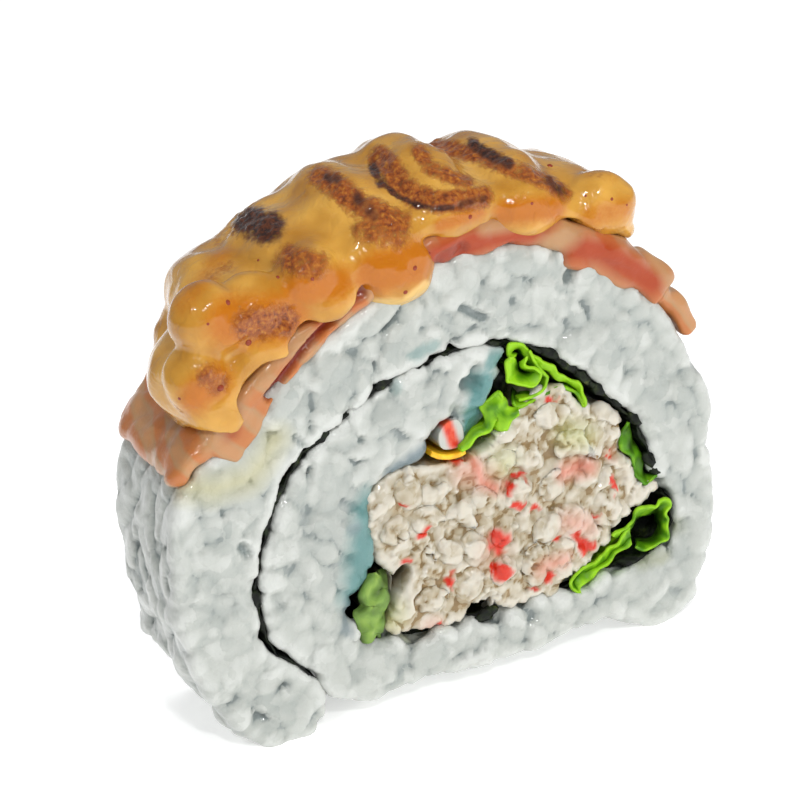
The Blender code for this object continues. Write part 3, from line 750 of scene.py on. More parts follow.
# Long white pieces of fish that lie in the cut: where, how long, how wide, and their turn in degrees.
SHARDS = [
    (-6.4, 15.6, 3.4, 1.7, 62), (-6.2, 10.6, 4.0, 1.6, 58), (-3.8, 12.8, 1.8, 1.2, 20),
    (10.6, 11.6, 2.0, 1.8, 70), (9.6, 25.2, 2.8, 1.8, 10), (12.4, 25.2, 2.2, 1.6, -30),
    (8.2, 23.8, 2.6, 1.4, 20), (16.2, 22.6, 2.6, 1.6, -40), (20.6, 14.2, 3.0, 1.6, 10),
    (18.6, 13.6, 2.2, 1.4, -20), (14.6, 16.6, 2.0, 1.3, 40), (5.0, 22.0, 2.4, 1.4, 20),
    (3.4, 8.4, 2.0, 1.2, -30), (-8.0, 19.6, 2.2, 1.2, 30), (0.4, 13.6, 1.8, 1.1, 60),
    (6.4, 12.6, 2.0, 1.1, 30), (13.8, 20.2, 2.4, 1.2, -20), (0.2, 17.2, 2.0, 1.0, -40),
    (9.6, 8.6, 2.0, 1.2, 10), (-1.2, 20.6, 2.4, 1.3, 25),
]

draw = random.Random(21)
crab = cad_copy("crab_salad", "crab_salad_filling")
melted(crab, CRAB_VOXEL, smoothing=6)
worked(crab, "DISPLACE", strength=0.15 * MM, mid_level=0)
co = coordinates(crab)
on_top = []
for side in (-1, 1):
    chunk_spot = face_spot(side, "crab_salad", (0.6, 1.7), (0.5, 1.0))
    on_top.append(packing(draw, CHUNK_THROWS, chunk_spot, spacing=0.85))
for x, z, long, wide, turn in SHARDS:
    along = at_turn(turn)
    for side in (-1, 1):
        out = Vector((0, side, 0))
        axes = [along / long * 2, out.cross(along) / wide * 2, out / PIECE_DEPTH]
        centre = (narrowed(x + MIDDLE_X, side * HALF), side * HALF, z)
        leans = draw.gauss(0, 1), draw.gauss(0, 1)
        on_top.append(np.array([[*centre, *axes[0], *axes[1], *axes[2], SHARD_LEVEL, *leans]]))
warped = bent(co, (1.1, 0.7), (0.5, 0.3))
height, top = packed(warped, np.vstack(on_top), bulge=0.18, levels=0.24, lean=0.28)
at_cut = np.clip((np.abs(co[:, 1]) - HALF + 1.6) / 1.2, 0, 1)
u, w = co[:, 0] - MIDDLE_X, co[:, 2]
cleft = at_cut * toward_marks(u, w, CLEFTS, 0.4)
co += normals_of(crab) * (at_cut * (height + rough(co, 0.7, 0.15, 12)))[:, None]
press(co, level=HALF + 0.5, give=0.7)
co[:, 1] -= np.sign(co[:, 1]) * CLEFT_DEPTH * cleft
set_coordinates(crab, co)
milk = np.array([draw.uniform(0, 1) for _ in range(sum(len(part) for part in on_top))])
milk[len(on_top[0]) + len(on_top[1]):] = 0
# How deep each point lies, which the material turns into painted shade and a painted highlight.
write_attribute(crab, "relief", np.clip(0.5 + below_smoothed(crab, 30) / 0.9, 0, 1))
write_attribute(crab, "milk", milk[top])
# Clefts are pushed in and get a dark painted shade.
write_attribute(crab, "cleft", cleft)
write_attribute(crab, "pink", toward_marks(u, w, PINK_MARKS, 0.9))
write_attribute(crab, "green", toward_marks(u, w, GREEN_MARKS, 0.9))
chip_ranges = (-8, 17), (8, 24), (0.6, 2.2), (0.4, 1.0), (0, 180)
back_chips = [[draw.uniform(*ends) for ends in chip_ranges] for _ in range(26)]
red = np.zeros(len(co))
for side, chips in ((-1, CHIPS), (1, back_chips)):
    marks = []
    for x, z, long, wide, turn in chips:
        reach = at_turn(turn) * max(long - wide, 0.1) / 2
        marks.append(([(x - reach.x, z - reach.z), (x + reach.x, z + reach.z)], wide * 0.55, 1.0))
    shown = toward_marks(warped[:, 0] - MIDDLE_X, warped[:, 2], marks, 0.35)
    red = np.maximum(red, shown * (side * co[:, 1] > HALF - 2.5))
write_attribute(crab, "red", red)


def dressed_crab():
    """Crab stick in mayonnaise: minced, steamed fish, white and springy, under a glossy cream. Its raised
    chunks get a painted highlight and its hollows a warm painted shade."""
    finish, tree, shader = new_material("crab salad in mayonnaise", {
        "Roughness": 0.28,
        "IOR": 1.42,
        "Subsurface Weight": 0.5,
        "Subsurface Radius": (1.1, 0.9, 0.7),
        "Subsurface Scale": 0.8 * MM,
        "Coat Weight": 0.3,
        "Coat Roughness": 0.1,
    })
    place = node(tree, "ShaderNodeTexCoord", {}).outputs["Object"]
    chunks = cells_of(tree, place, bend_size=1.2, bend=1.2, cell_size=1.7)
    # Raised chunks get a painted highlight and hollows a warm painted shade.
    ramp = [(0.55, CRAB_PALE_AND_HIGHLIGHT), (0.85, CRAB_CREAM), (1.1, CRAB_SHADE), (1.4, CRAB_GAP_SHADE)]
    base = shaded_by_depth(tree, chunks, milk_share=0.4, cell_share=0.3, ramp=ramp)
    tints = [("pink", CRAB_PINK), ("green", CRAB_GREEN), ("red", SKIN_RED), ("cleft", CLEFT_SHADE)]
    fine = node(tree, "ShaderNodeTexNoise", {"Scale": 1 / (0.6 * MM), "Detail": 5.0}, {"Vector": place})
    skinned(tree, shader, tinted(tree, base, tints), fine.outputs["Fac"], strength=0.5, depth=0.15)
    return finish


finished(crab, dressed_crab(), "crab_salad", "crab_salad")

# The crab stick
# A thicker piece of crab stick at the salad's upper left: pressed white fish with a narrow strip of its dyed
# skin. It is cut through with the roll and shows as a short red bar.
SKIN_ORANGE, FLESH_WHITE = "#DE5A36", "#BCBDB6"

stick = cad_copy("crab_stick", "crab_stick_bar")
melted(stick, 0.25 * MM, smoothing=2)
co = coordinates(stick)
co[:, 1] = np.clip(co[:, 1], -HALF + 0.4, HALF - 0.4)
set_coordinates(stick, co)
streak = toward_marks(co[:, 0] - MIDDLE_X, co[:, 2], [([(-0.5, 26.6), (0.1, 24.0)], 0.55, 1.0)], 0.4)
write_attribute(stick, "skin", streak)


def crab_stick_skin():
    """Crab stick: pressed white fish with a dyed skin, red-orange and moist, that bleeds into the flesh."""
    finish, tree, shader = new_material("dyed crab stick skin", {
        "Roughness": 0.3,
        "Subsurface Weight": 0.2,
        "Subsurface Radius": (1.0, 0.4, 0.2),
        "Subsurface Scale": 0.4 * MM,
    })
    place = node(tree, "ShaderNodeTexCoord", {}).outputs["Object"]
    streaks = node(tree, "ShaderNodeTexNoise", {"Scale": 1 / (0.9 * MM), "Detail": 3.0}, {"Vector": place})
    dyed = node(
        tree,
        "ShaderNodeValToRGB",
        {"ramp": [(0.4, SKIN_RED), (0.65, SKIN_ORANGE)]},
        {"Fac": streaks.outputs["Fac"]},
    )
    skin = node(tree, "ShaderNodeAttribute", {"attribute_name": "skin"}).outputs["Fac"]
    flesh = {"Color1": linear(FLESH_WHITE)}
    colour = node(tree, "ShaderNodeMixRGB", flesh, {"Fac": skin, "Color2": dyed.outputs["Color"]})
    tree.links.new(colour.outputs["Color"], shader.inputs["Base Color"])
    return finish


finished(stick, crab_stick_skin(), "crab_stick", "crab_stick")

# Yellow filling
# A thin strip, soft and bright, pressed between the red stick and the salad.
YELLOW, YELLOW_DEEP = "#F0C62A", "#DE9A16"

strip = cad_copy("yellow_strip", "yellow_strip_soft")
melted(strip, 0.2 * MM, smoothing=3)
worked(strip, "DISPLACE", strength=-0.08 * MM, mid_level=0)
yellow, tree, shader = new_material("yellow filling", {
    "Roughness": 0.3,
    "Subsurface Weight": 0.3,
    "Subsurface Scale": 0.6 * MM,
})
place = node(tree, "ShaderNodeTexCoord", {}).outputs["Object"]
mottle = node(tree, "ShaderNodeTexNoise", {"Scale": 1 / (1.0 * MM), "Detail": 3.0}, {"Vector": place})
colour = node(
    tree,
    "ShaderNodeValToRGB",
    {"ramp": [(0.35, YELLOW_DEEP), (0.6, YELLOW)]},
    {"Fac": mottle.outputs["Fac"]},
)
tree.links.new(colour.outputs["Color"], shader.inputs["Base Color"])
finished(strip, yellow, "yellow_filling", "yellow_strip")

# Lettuce
# Curly leaf lettuce: thin crisp green leaves, glossy at their ruffled rims, with painted light on the rims
# and painted shade down in the folds. Each is a few thin sheets that follow its solid, rippled harder towards
# the cut faces.
# The bright colour is the leaf's green with painted light on the rims. The dark one is painted shade in the
# folds.
LEAF_BRIGHT_LIT, LEAF_MID, LEAF_FOLD_SHADE = "#93C81E", "#4F860A", "#132208"
LEAF_PALE, LEAF_BRUISED = "#9DBA58", "#6F9040"
LEAF_THICKNESS, LEFT_CRUMPLE, CRUMPLE = 0.28, 0.8, 0.4

# How far left and up a place shows on the cut face for each millimetre that it lies behind that face.
SEEN_LEFT, SEEN_UP = 0.445, 0.40

# A sheet is a few lines from the cut face inwards, each with its depth from the middle of the roll, its
# painted light and shade from 0, painted shade, to 1, painted light, and its points as the photograph shows
# them.
LEAVES = {
    "lettuce_top": [
        [
            (8.7, 1.0, [
                (6.9, 31.0), (6.2, 31.4), (5.9, 31.9), (6.5, 32.3), (7.4, 32.3), (8.1, 31.9), (8.5, 31.2),
                (9.0, 30.3), (9.7, 29.8), (10.6, 29.3), (11.2, 28.6), (11.7, 27.9), (12.5, 27.3),
                (13.2, 26.9), (13.8, 26.2), (13.6, 25.4), (13.9, 24.6), (14.0, 24.0),
            ]),
            (8.2, 0.75, [
                (7.3, 31.0), (6.7, 31.2), (6.4, 31.6), (6.8, 31.9), (7.4, 31.9), (7.9, 31.5), (8.2, 30.8),
                (8.7, 29.9), (9.4, 29.4), (10.2, 29.0), (10.8, 28.3), (11.3, 27.6), (12.1, 27.0),
                (12.8, 26.5), (13.3, 25.9), (13.2, 25.2), (13.5, 24.5), (13.6, 23.9),
            ]),
            (5.5, 0.1, [
                (7.4, 31.1), (7.0, 31.4), (6.8, 31.6), (7.0, 31.8), (7.4, 31.7), (7.7, 31.3), (8.0, 30.6),
                (8.5, 29.7), (9.2, 29.2), (10.0, 28.8), (10.6, 28.1), (11.1, 27.4), (11.9, 26.8),
                (12.6, 26.2), (13.0, 25.6), (12.9, 25.0), (13.2, 24.3), (13.3, 23.8),
            ]),
        ],
        [
            (9.1, 1.0, [
                (6.2, 31.2), (5.9, 30.2), (5.8, 29.4), (6.2, 28.6), (7.0, 28.0), (7.9, 27.6), (8.7, 27.5),
                (9.5, 27.9), (9.8, 28.4), (9.2, 28.8), (8.6, 29.3), (8.1, 29.9), (8.1, 30.6),
            ]),
            (8.4, 0.7, [
                (6.9, 30.8), (6.6, 30.2), (6.5, 29.6), (6.8, 29.0), (7.4, 28.6), (8.0, 28.3), (8.5, 28.3),
                (8.9, 28.5), (9.1, 28.7), (8.7, 29.1), (8.2, 29.5), (7.7, 29.9), (7.6, 30.4),
            ]),
            (6.8, 0.35, [
                (7.4, 29.9), (7.2, 29.7), (7.2, 29.5), (7.4, 29.3), (7.6, 29.2), (7.8, 29.1), (8.0, 29.1),
                (8.1, 29.2), (8.1, 29.3), (8.0, 29.4), (7.8, 29.5), (7.6, 29.7), (7.5, 29.9),
            ]),
        ],
        [
            (8.6, 0.9, [
                (8.5, 31.0), (8.9, 30.0), (9.5, 29.3), (10.1, 28.6), (10.3, 27.9), (10.1, 27.2),
                (9.6, 26.8), (8.8, 26.6), (7.8, 26.6), (6.9, 26.4),
            ]),
            (7.4, 0.5, [
                (8.1, 30.7), (8.4, 29.8), (9.0, 29.1), (9.5, 28.4), (9.7, 27.9), (9.5, 27.5), (9.0, 27.2),
                (8.3, 27.1), (7.4, 27.1), (6.6, 27.0),
            ]),
            (5.0, 0.1, [
                (8.0, 30.4), (8.3, 29.6), (8.8, 29.0), (9.2, 28.4), (9.4, 28.0), (9.2, 27.8), (8.8, 27.6),
                (8.2, 27.5), (7.4, 27.5), (6.6, 27.4),
            ]),
        ],
        [
            (8.5, 0.7, [
                (6.4, 26.6), (6.5, 26.0), (7.3, 25.8), (8.4, 26.0), (9.4, 26.4), (10.6, 26.8), (12.0, 26.7),
                (12.6, 26.1), (13.2, 25.4), (13.5, 24.2),
            ]),
            (6.5, 0.25, [
                (6.4, 27.4), (7.0, 27.1), (7.9, 27.0), (9.0, 27.0), (10.0, 27.2), (11.0, 27.3),
                (12.0, 27.0), (12.4, 26.6), (12.9, 25.9), (13.2, 24.8),
            ]),
            (4.0, 0.0, [
                (6.6, 28.2), (7.2, 28.0), (8.0, 27.8), (9.0, 27.8), (10.0, 28.0), (10.8, 27.9),
                (11.6, 27.6), (12.2, 27.0), (12.6, 26.4), (13.0, 25.4),
            ]),
        ],
    ],
    "lettuce_frill": [
        [
            (8.2, 0.85, [
                (0.4, 23.9), (1.4, 24.3), (2.4, 24.8), (3.3, 25.3), (3.7, 25.8), (3.1, 26.4), (2.9, 27.0),
                (3.4, 27.3), (4.0, 27.5), (4.7, 28.0), (5.2, 27.9), (5.5, 27.2), (5.5, 26.6), (6.0, 26.3),
                (6.4, 25.8), (7.1, 25.7),
            ]),
            (8.8, 0.6, [
                (0.6, 23.6), (1.5, 23.9), (2.4, 24.4), (3.2, 24.9), (3.8, 25.3), (3.8, 25.9), (3.8, 26.4),
                (4.0, 26.6), (4.3, 26.7), (4.6, 26.8), (4.8, 26.7), (5.0, 26.2), (5.1, 25.7), (5.4, 25.3),
                (5.9, 25.3), (6.9, 25.4),
            ]),
            (8.9, 0.95, [
                (0.7, 23.3), (1.6, 23.6), (2.4, 24.0), (3.2, 24.4), (3.9, 24.7), (4.3, 25.0), (4.5, 25.3),
                (4.6, 25.3), (4.6, 25.0), (4.6, 24.6), (4.6, 24.2), (4.9, 23.8), (5.3, 23.9), (5.6, 24.4),
                (6.1, 24.8), (6.9, 25.1),
            ]),
        ],
        [
            (8.4, 0.8, [
                (3.2, 27.2), (4.0, 27.6), (4.8, 28.0), (5.3, 27.5), (5.6, 26.6),
            ]),
            (6.0, 0.3, [
                (3.4, 26.8), (4.1, 27.2), (4.8, 27.5), (5.2, 27.0), (5.5, 26.2),
            ]),
            (3.0, 0.0, [
                (3.4, 26.4), (4.1, 26.8), (4.8, 27.0), (5.2, 26.5), (5.5, 25.8),
            ]),
        ],
    ],
    "lettuce_left": [
        [
            (8.4, 0.35, [
                (-12.0, 7.4), (-12.2, 8.6), (-12.0, 10.0), (-11.6, 11.4), (-11.0, 12.8), (-10.2, 14.0),
            ]),
            (9.1, 0.6, [
                (-11.0, 7.4), (-11.0, 8.7), (-10.8, 10.0), (-10.4, 11.4), (-9.9, 12.8), (-9.6, 14.2),
            ]),
            (8.8, 0.4, [
                (-10.2, 7.3), (-9.8, 8.6), (-9.2, 9.8), (-8.9, 11.2), (-8.8, 12.6), (-9.0, 14.0),
            ]),
            (5.0, 0.1, [
                (-9.8, 7.3), (-9.4, 8.6), (-8.8, 9.8), (-8.5, 11.2), (-8.4, 12.6), (-8.6, 14.0),
            ]),
        ],
    ],
    "lettuce_right": [
        [
            (8.6, 0.45, [
                (17.8, 21.4), (17.5, 20.6), (17.1, 19.7), (17.2, 19.0), (17.8, 18.3), (18.2, 17.6),
                (18.5, 17.0), (18.3, 16.4), (18.6, 15.6), (19.1, 14.8), (19.9, 14.8), (20.7, 15.2),
            ]),
            (7.9, 0.28, [
                (18.2, 21.4), (18.2, 20.6), (18.1, 19.8), (18.3, 19.2), (18.8, 18.6), (19.2, 17.8),
                (19.3, 17.2), (19.0, 16.6), (19.1, 16.0), (19.5, 15.5), (20.0, 15.4), (20.6, 15.7),
            ]),
            (5.0, 0.0, [
                (18.6, 21.4), (18.8, 20.6), (18.8, 19.8), (19.0, 19.2), (19.4, 18.6), (19.7, 17.8),
                (19.8, 17.2), (19.6, 16.6), (19.6, 16.2), (19.9, 15.9), (20.2, 15.8), (20.6, 16.0),
            ]),
        ],
    ],
    "lettuce_base": [
        [
            (8.8, 0.75, [
                (15.3, 10.5), (15.7, 11.0), (16.4, 10.9), (17.1, 11.2), (17.6, 11.8), (18.2, 12.5),
                (18.8, 12.8), (19.4, 12.5), (20.3, 12.2), (20.5, 12.9), (21.0, 12.6), (21.8, 12.6),
                (21.9, 11.9), (21.3, 11.4), (21.4, 10.6), (21.8, 9.9), (21.4, 9.1), (20.6, 8.4),
                (19.6, 8.0), (18.4, 8.2), (17.5, 8.6),
            ]),
            (8.0, 0.3, [
                (16.0, 10.2), (16.4, 10.5), (16.9, 10.5), (17.4, 10.8), (17.8, 11.2), (18.3, 11.7),
                (18.8, 11.9), (19.3, 11.8), (20.0, 11.7), (20.2, 12.0), (20.6, 11.8), (20.9, 11.7),
                (20.9, 11.3), (20.7, 10.9), (20.8, 10.4), (20.9, 10.0), (20.6, 9.5), (20.1, 9.0),
                (19.4, 8.8), (18.5, 8.9), (17.8, 9.1),
            ]),
            (4.0, 0.0, [
                (16.6, 10.1), (17.0, 10.4), (17.4, 10.4), (17.8, 10.7), (18.1, 11.0), (18.5, 11.3),
                (18.9, 11.4), (19.2, 11.3), (19.7, 11.2), (19.9, 11.4), (20.1, 11.3), (20.3, 11.2),
                (20.3, 10.9), (20.1, 10.6), (20.2, 10.3), (20.3, 10.0), (20.0, 9.7), (19.7, 9.4),
                (19.2, 9.2), (18.6, 9.3), (18.1, 9.4),
            ]),
        ],
        [
            (8.7, 0.9, [
                (17.3, 10.9), (16.4, 10.3), (15.6, 9.7), (14.9, 9.3), (14.2, 8.9), (13.4, 8.3), (12.6, 8.3),
                (11.6, 8.1), (10.6, 7.8), (10.2, 7.2), (10.6, 6.5), (11.1, 5.8),
            ]),
            (8.1, 0.3, [
                (17.3, 9.9), (16.5, 9.6), (15.6, 9.1), (14.8, 8.8), (14.1, 8.4), (13.3, 7.9), (12.5, 7.8),
                (11.8, 7.6), (11.1, 7.4), (10.8, 7.0), (10.9, 6.4), (11.2, 5.8),
            ]),
            (8.8, 0.95, [
                (17.4, 9.0), (16.6, 8.9), (15.6, 8.6), (14.7, 8.1), (13.9, 7.6), (13.1, 7.2), (12.6, 6.8),
                (12.1, 6.5), (11.6, 6.3), (11.4, 6.0), (11.3, 5.7), (11.4, 5.4),
            ]),
        ],
    ],
}
ACROSS, ALONG = 96, 28


def even_line(points, count):
    """A line of points drawn again with the given count of points, evenly spaced and rounded."""
    points = np.array(points, float)
    steps = np.hypot(*np.diff(points, axis=0).T)
    where = np.concatenate([[0], np.cumsum(steps)]) / steps.sum()
    line = np.stack([np.interp(np.linspace(0, 1, count), where, points[:, k]) for k in (0, 1)], axis=1)
    for _ in range(8):
        line[1:-1] = (line[:-2] + 2 * line[1:-1] + line[2:]) / 4
    return line


def sheet_of_leaf(name, rows, seed):
    """A thin sheet through the whole roll. Its back half mirrors its front one, and its rims are frilled."""
    lines = []
    for depth, tone, points in rows:
        (across, up), y = even_line(points, ACROSS).T, HALF - depth
        line = np.stack([across + SEEN_LEFT * y + MIDDLE_X, np.full(ACROSS, -depth), up - SEEN_UP * y], 1)
        lines.append((line, tone))
    lines += [(line * (1, -1, 1), tone) for line, tone in reversed(lines)]
    marks = np.concatenate([np.linspace(0, 0.42, len(rows)), np.linspace(0.58, 1, len(rows))])
    bpy.ops.object.select_all(action="DESELECT")
    bpy.ops.mesh.primitive_grid_add(x_subdivisions=ACROSS - 1, y_subdivisions=ALONG, size=1)
    leaf = bpy.context.object
    leaf.name = name
    flat = coordinates(leaf) * MM
    column = np.rint((flat[:, 0] + 0.5) * (ACROSS - 1)).astype(int)
    t = flat[:, 1] + 0.5
    co = np.empty((len(t), 3))
    for k in range(3):
        co[:, k] = [np.interp(a, marks, [line[c, k] for line, _ in lines]) for a, c in zip(t, column)]
    tone = np.interp(t, marks, [shade for _, shade in lines])
    rim = np.clip((np.abs(co[:, 1]) - 6) / 2.5, 0, 1)
    crumple = LEFT_CRUMPLE if name.startswith("lettuce_left") else CRUMPLE
    for k in range(3):
        co[:, k] += rim * rough(co * (1, 0.6, 1), 1.3, crumple, seed + k)
    set_coordinates(leaf, co)
    # Each line's painted light and shade, with a random spread.
    write_attribute(leaf, "tone", np.clip(tone + rough(co, 0.9, 0.3, seed + 5), 0, 1))
    bpy.ops.object.mode_set(mode="EDIT")
    bpy.ops.mesh.select_all(action="SELECT")
    bpy.ops.mesh.remove_doubles(threshold=WELD)
    bpy.ops.mesh.normals_make_consistent(inside=False)
    bpy.ops.object.mode_set(mode="OBJECT")
    worked(leaf, "SOLIDIFY", thickness=LEAF_THICKNESS * MM, offset=0)
    return leaf


def crisp_leaf(name, bright, middle):
    """Lettuce leaf: a wet waxy skin over thin green flesh that glows where light comes through. Its colour
    has painted light on the rims and painted shade down in its folds."""
    finish, tree, shader = new_material(name, {
        "Roughness": 0.4,
        "Specular IOR Level": 0.3,
        "Subsurface Weight": 0.25,
        "Subsurface Radius": (0.6, 1.0, 0.2),
        "Subsurface Scale": 0.4 * MM,
    })
    place = node(tree, "ShaderNodeTexCoord", {}).outputs["Object"]
    vein_size = {"Scale": 1 / (1.2 * MM), "Detail": 5.0, "Distortion": 0.8}
    veins = node(tree, "ShaderNodeTexNoise", vein_size, {"Vector": place})
    tone = node(tree, "ShaderNodeAttribute", {"attribute_name": "tone"}).outputs["Fac"]
    shift = node(
        tree, "ShaderNodeMath", {"operation": "MULTIPLY_ADD", 1: 0.5, 2: -0.25}, {0: veins.outputs["Fac"]}
    )
    shade = node(tree, "ShaderNodeMath", {"operation": "ADD"}, {0: tone, 1: shift.outputs["Value"]})
    colour = node(
        tree,
        "ShaderNodeValToRGB",
        {"ramp": [(0.05, LEAF_FOLD_SHADE), (0.5, middle), (0.9, bright)]},
        {"Fac": shade.outputs["Value"]},
    )
    skinned(tree, shader, colour.outputs["Color"], veins.outputs["Fac"], strength=0.5, depth=0.15)
    return finish


lettuce = crisp_leaf("curly lettuce", LEAF_BRIGHT_LIT, LEAF_MID)
watery = crisp_leaf("bruised wet lettuce", LEAF_PALE, LEAF_BRUISED)
for seed, (name, sheets) in enumerate(LEAVES.items()):
    parts = [sheet_of_leaf(f"{name}_{k}", rows, 10 * seed + k) for k, rows in enumerate(sheets)]
    leaf = joined(parts, name + "_leaf")
    finished(leaf, watery if name == "lettuce_left" else lettuce, "lettuce", name)

# Salmon
# Raw salmon sliced across the grain, draped over the roll and seared from above with a torch: orange flesh in
# flakes between pale lines of fat, moist and half see-through where it is still raw.
SALMON_VOXEL = 0.28 * MM
FLAKE_DEPTH, FOLD_DEPTH = 0.16, 0.9
# The last colour is painted shade in the fold's crease.
FLESH, FLESH_DEEP, FLESH_PALE, FAT, FLESH_FOLD_SHADE = "#B8723E", "#A23A04", "#B0865C", "#B8865A", "#7C200C"

# Where the slice is a deep orange, where its fold gets a painted shade, and where it is pale, as seen from
# the photograph's side.
DEEP_MARKS = [
    ([(0.2, 42.2), (6.0, 42.8), (11.2, 42.2)], 1.5, 1.0),
    ([(13.6, 39.8), (17.0, 38.6), (20.0, 36.2), (22.0, 34.4)], 1.4, 1.0),
    ([(-21.8, 31.4)], 1.0, 0.7),
    ([(-12.0, 39.0), (-8.0, 40.8)], 0.9, 0.6),
]
DARK_MARKS = [
    ([(-17.6, 33.4), (-13.0, 37.2), (-8.0, 40.6)], 0.35, 1.0),
    ([(-9.6, 40.4), (-7.4, 40.6)], 0.6, 0.9),
    ([(-24.2, 33.0), (-20.6, 35.4)], 0.3, 0.6),
    ([(0.6, 41.8), (3.0, 42.4)], 0.5, 0.5),
]
PALE_MARKS = [
    ([(-24.0, 30.4), (-19.6, 35.0), (-13.0, 38.2)], 0.9, 0.8),
    ([(5.4, 43.8), (7.8, 43.6)], 0.8, 0.9),
    ([(11.8, 40.4), (13.8, 41.2)], 1.3, 1.0),
    ([(20.8, 39.6), (22.4, 37.4), (24.2, 34.0)], 0.8, 0.7),
]


def as_seen(co):
    """Where points show on the plane of the cut face when seen from the photograph's side."""
    back = co[:, 1] + HALF
    return co[:, 0] - MIDDLE_X - SEEN_LEFT * back, co[:, 2] + SEEN_UP * back


def set_down(made, name, size, turn, x, z, y):
    """Sizes and turns a new primitive, and puts it at a depth y where it shows at (x, z) on the cut face."""
    made.name = name
    made.scale = Vector(size) * MM
    made.rotation_euler = (0, -radians(turn), 0)
    made.location = Vector((x + MIDDLE_X + SEEN_LEFT * (y + HALF), y, z - SEEN_UP * (y + HALF))) * MM
    bpy.ops.object.transform_apply(location=True, rotation=True, scale=True)
    return made


def slab(place, size, turn, name):
    """A rounded slab of flesh: where its middle shows on the cut face, its depth, its size and its turn."""
    bpy.ops.object.select_all(action="DESELECT")
    bpy.ops.mesh.primitive_cube_add(size=1)
    made = set_down(bpy.context.object, name, size, turn, *place)
    bpy.ops.object.mode_set(mode="EDIT")
    bpy.ops.mesh.select_all(action="SELECT")
    bpy.ops.mesh.bevel(offset=min(size) * 0.3 * MM, segments=3)
    bpy.ops.object.mode_set(mode="OBJECT")
    return made


salmon = cad_copy("salmon", "salmon_sheet")
worked(salmon, "SUBSURF", levels=1, render_levels=1)
melted(salmon, 0.4 * MM, smoothing=4)
worked(salmon, "DISPLACE", strength=0.3 * MM, mid_level=0)
flaps = [
    slab((16.6, 38.0, -7.9), (8.6, 2.8, 3.4), -28, "right_flap"),
    slab((21.4, 35.4, -7.4), (5.4, 3.6, 3.8), -48, "right_end"),
    slab((24.3, 31.4, -6.2), (4.8, 4.2, 1.9), -68, "right_tip"),
    slab((5.6, 42.6, -8.3), (11.5, 1.8, 1.9), 2, "top_edge"),
    slab((-12.4, 37.6, -8.4), (11.0, 1.4, 1.3), 34, "front_fold"),
    slab((-20.6, 31.8, -8.3), (7.4, 1.6, 3.4), 52, "left_fold"),
]
slice_of_salmon = joined([salmon] + flaps, "salmon_slice")
melted(slice_of_salmon, SALMON_VOXEL, smoothing=3)
co = coordinates(slice_of_salmon)
normals = normals_of(slice_of_salmon)
flakes = np.sin(co[:, 0] * 1.9 + 0.6 * co[:, 1] + 0.9 * co[:, 2] + rough(co, 3.0, 1.6, 3))
grooves = -FLAKE_DEPTH * np.clip(flakes - 0.5, 0, 1)
co += normals * (rough(co, 2.4, 0.45, 4) + grooves)[:, None]
u, w = as_seen(co)
dark = toward_marks(u, w, DARK_MARKS, 0.5)
front = np.clip(-co[:, 1] - 7.0, 0, 1)
co[:, 1] += FOLD_DEPTH * dark * front
set_coordinates(slice_of_salmon, co)
write_attribute(slice_of_salmon, "relief", np.clip(0.5 + below_smoothed(slice_of_salmon, 25) / 0.6, 0, 1))
write_attribute(slice_of_salmon, "deep", front * toward_marks(u, w, DEEP_MARKS, 0.6))
# The fold's dark line is painted shade.
write_attribute(slice_of_salmon, "dark", front * dark)
write_attribute(slice_of_salmon, "pale", toward_marks(u, w, PALE_MARKS, 0.6))


def seared_salmon():
    """Salmon, raw at the cut and seared on top: oily flesh, orange to pink, with lines of fat."""
    finish, tree, shader = new_material("seared salmon", {
        "Roughness": 0.28,
        "IOR": 1.4,
        "Subsurface Weight": 0.3,
        "Subsurface Radius": (1.2, 0.6, 0.3),
        "Subsurface Scale": 0.8 * MM,
        "Coat Weight": 0.3,
        "Coat Roughness": 0.1,
    })
    place = node(tree, "ShaderNodeTexCoord", {}).outputs["Object"]
    turned = node(tree, "ShaderNodeMapping", {"Rotation": (0.2, 0.5, 0.5)}, {"Vector": place})
    lines = node(
        tree,
        "ShaderNodeTexWave",
        {"Scale": 1 / (11 * MM), "Distortion": 5.0, "Detail": 3.0, "Detail Scale": 0.9},
        {"Vector": turned.outputs["Vector"]},
    )
    base = node(
        tree,
        "ShaderNodeValToRGB",
        {"ramp": [(0.3, FLESH), (0.62, FLESH_PALE), (0.95, FAT)]},
        {"Fac": lines.outputs["Fac"]},
    ).outputs["Color"]
    base = tinted(tree, base, [("deep", FLESH_DEEP), ("pale", FLESH_PALE), ("dark", FLESH_FOLD_SHADE)])
    fine = node(tree, "ShaderNodeTexNoise", {"Scale": 1 / (0.7 * MM), "Detail": 4.0}, {"Vector": place})
    skinned(tree, shader, base, fine.outputs["Fac"], strength=0.5, depth=0.15)
    return finish


finished(slice_of_salmon, seared_salmon(), "salmon", "salmon")

# Sauce
# Spiced mayonnaise piped thickly over the salmon and flamed: smooth tan lobes that run together, amber and
# glossy where they have melted, blistered and brown where the flame touched. A drip hangs over the face.
SAUCE_VOXEL = 0.26 * MM
SAUCE_LIGHT, SAUCE_TAN, SAUCE_AMBER, SAUCE_PALE = "#D29E44", "#AE761E", "#B66800", "#DCB468"
BROWN_DARK, BROWN, BROWN_LIGHT = "#5E260A", "#964C12", "#BE7C28"
CHAR_DARK, CHAR = "#2C140E", "#5E3018"

# The height, as seen, above which the ridges have run together.
UPPER_FROM = 45.5

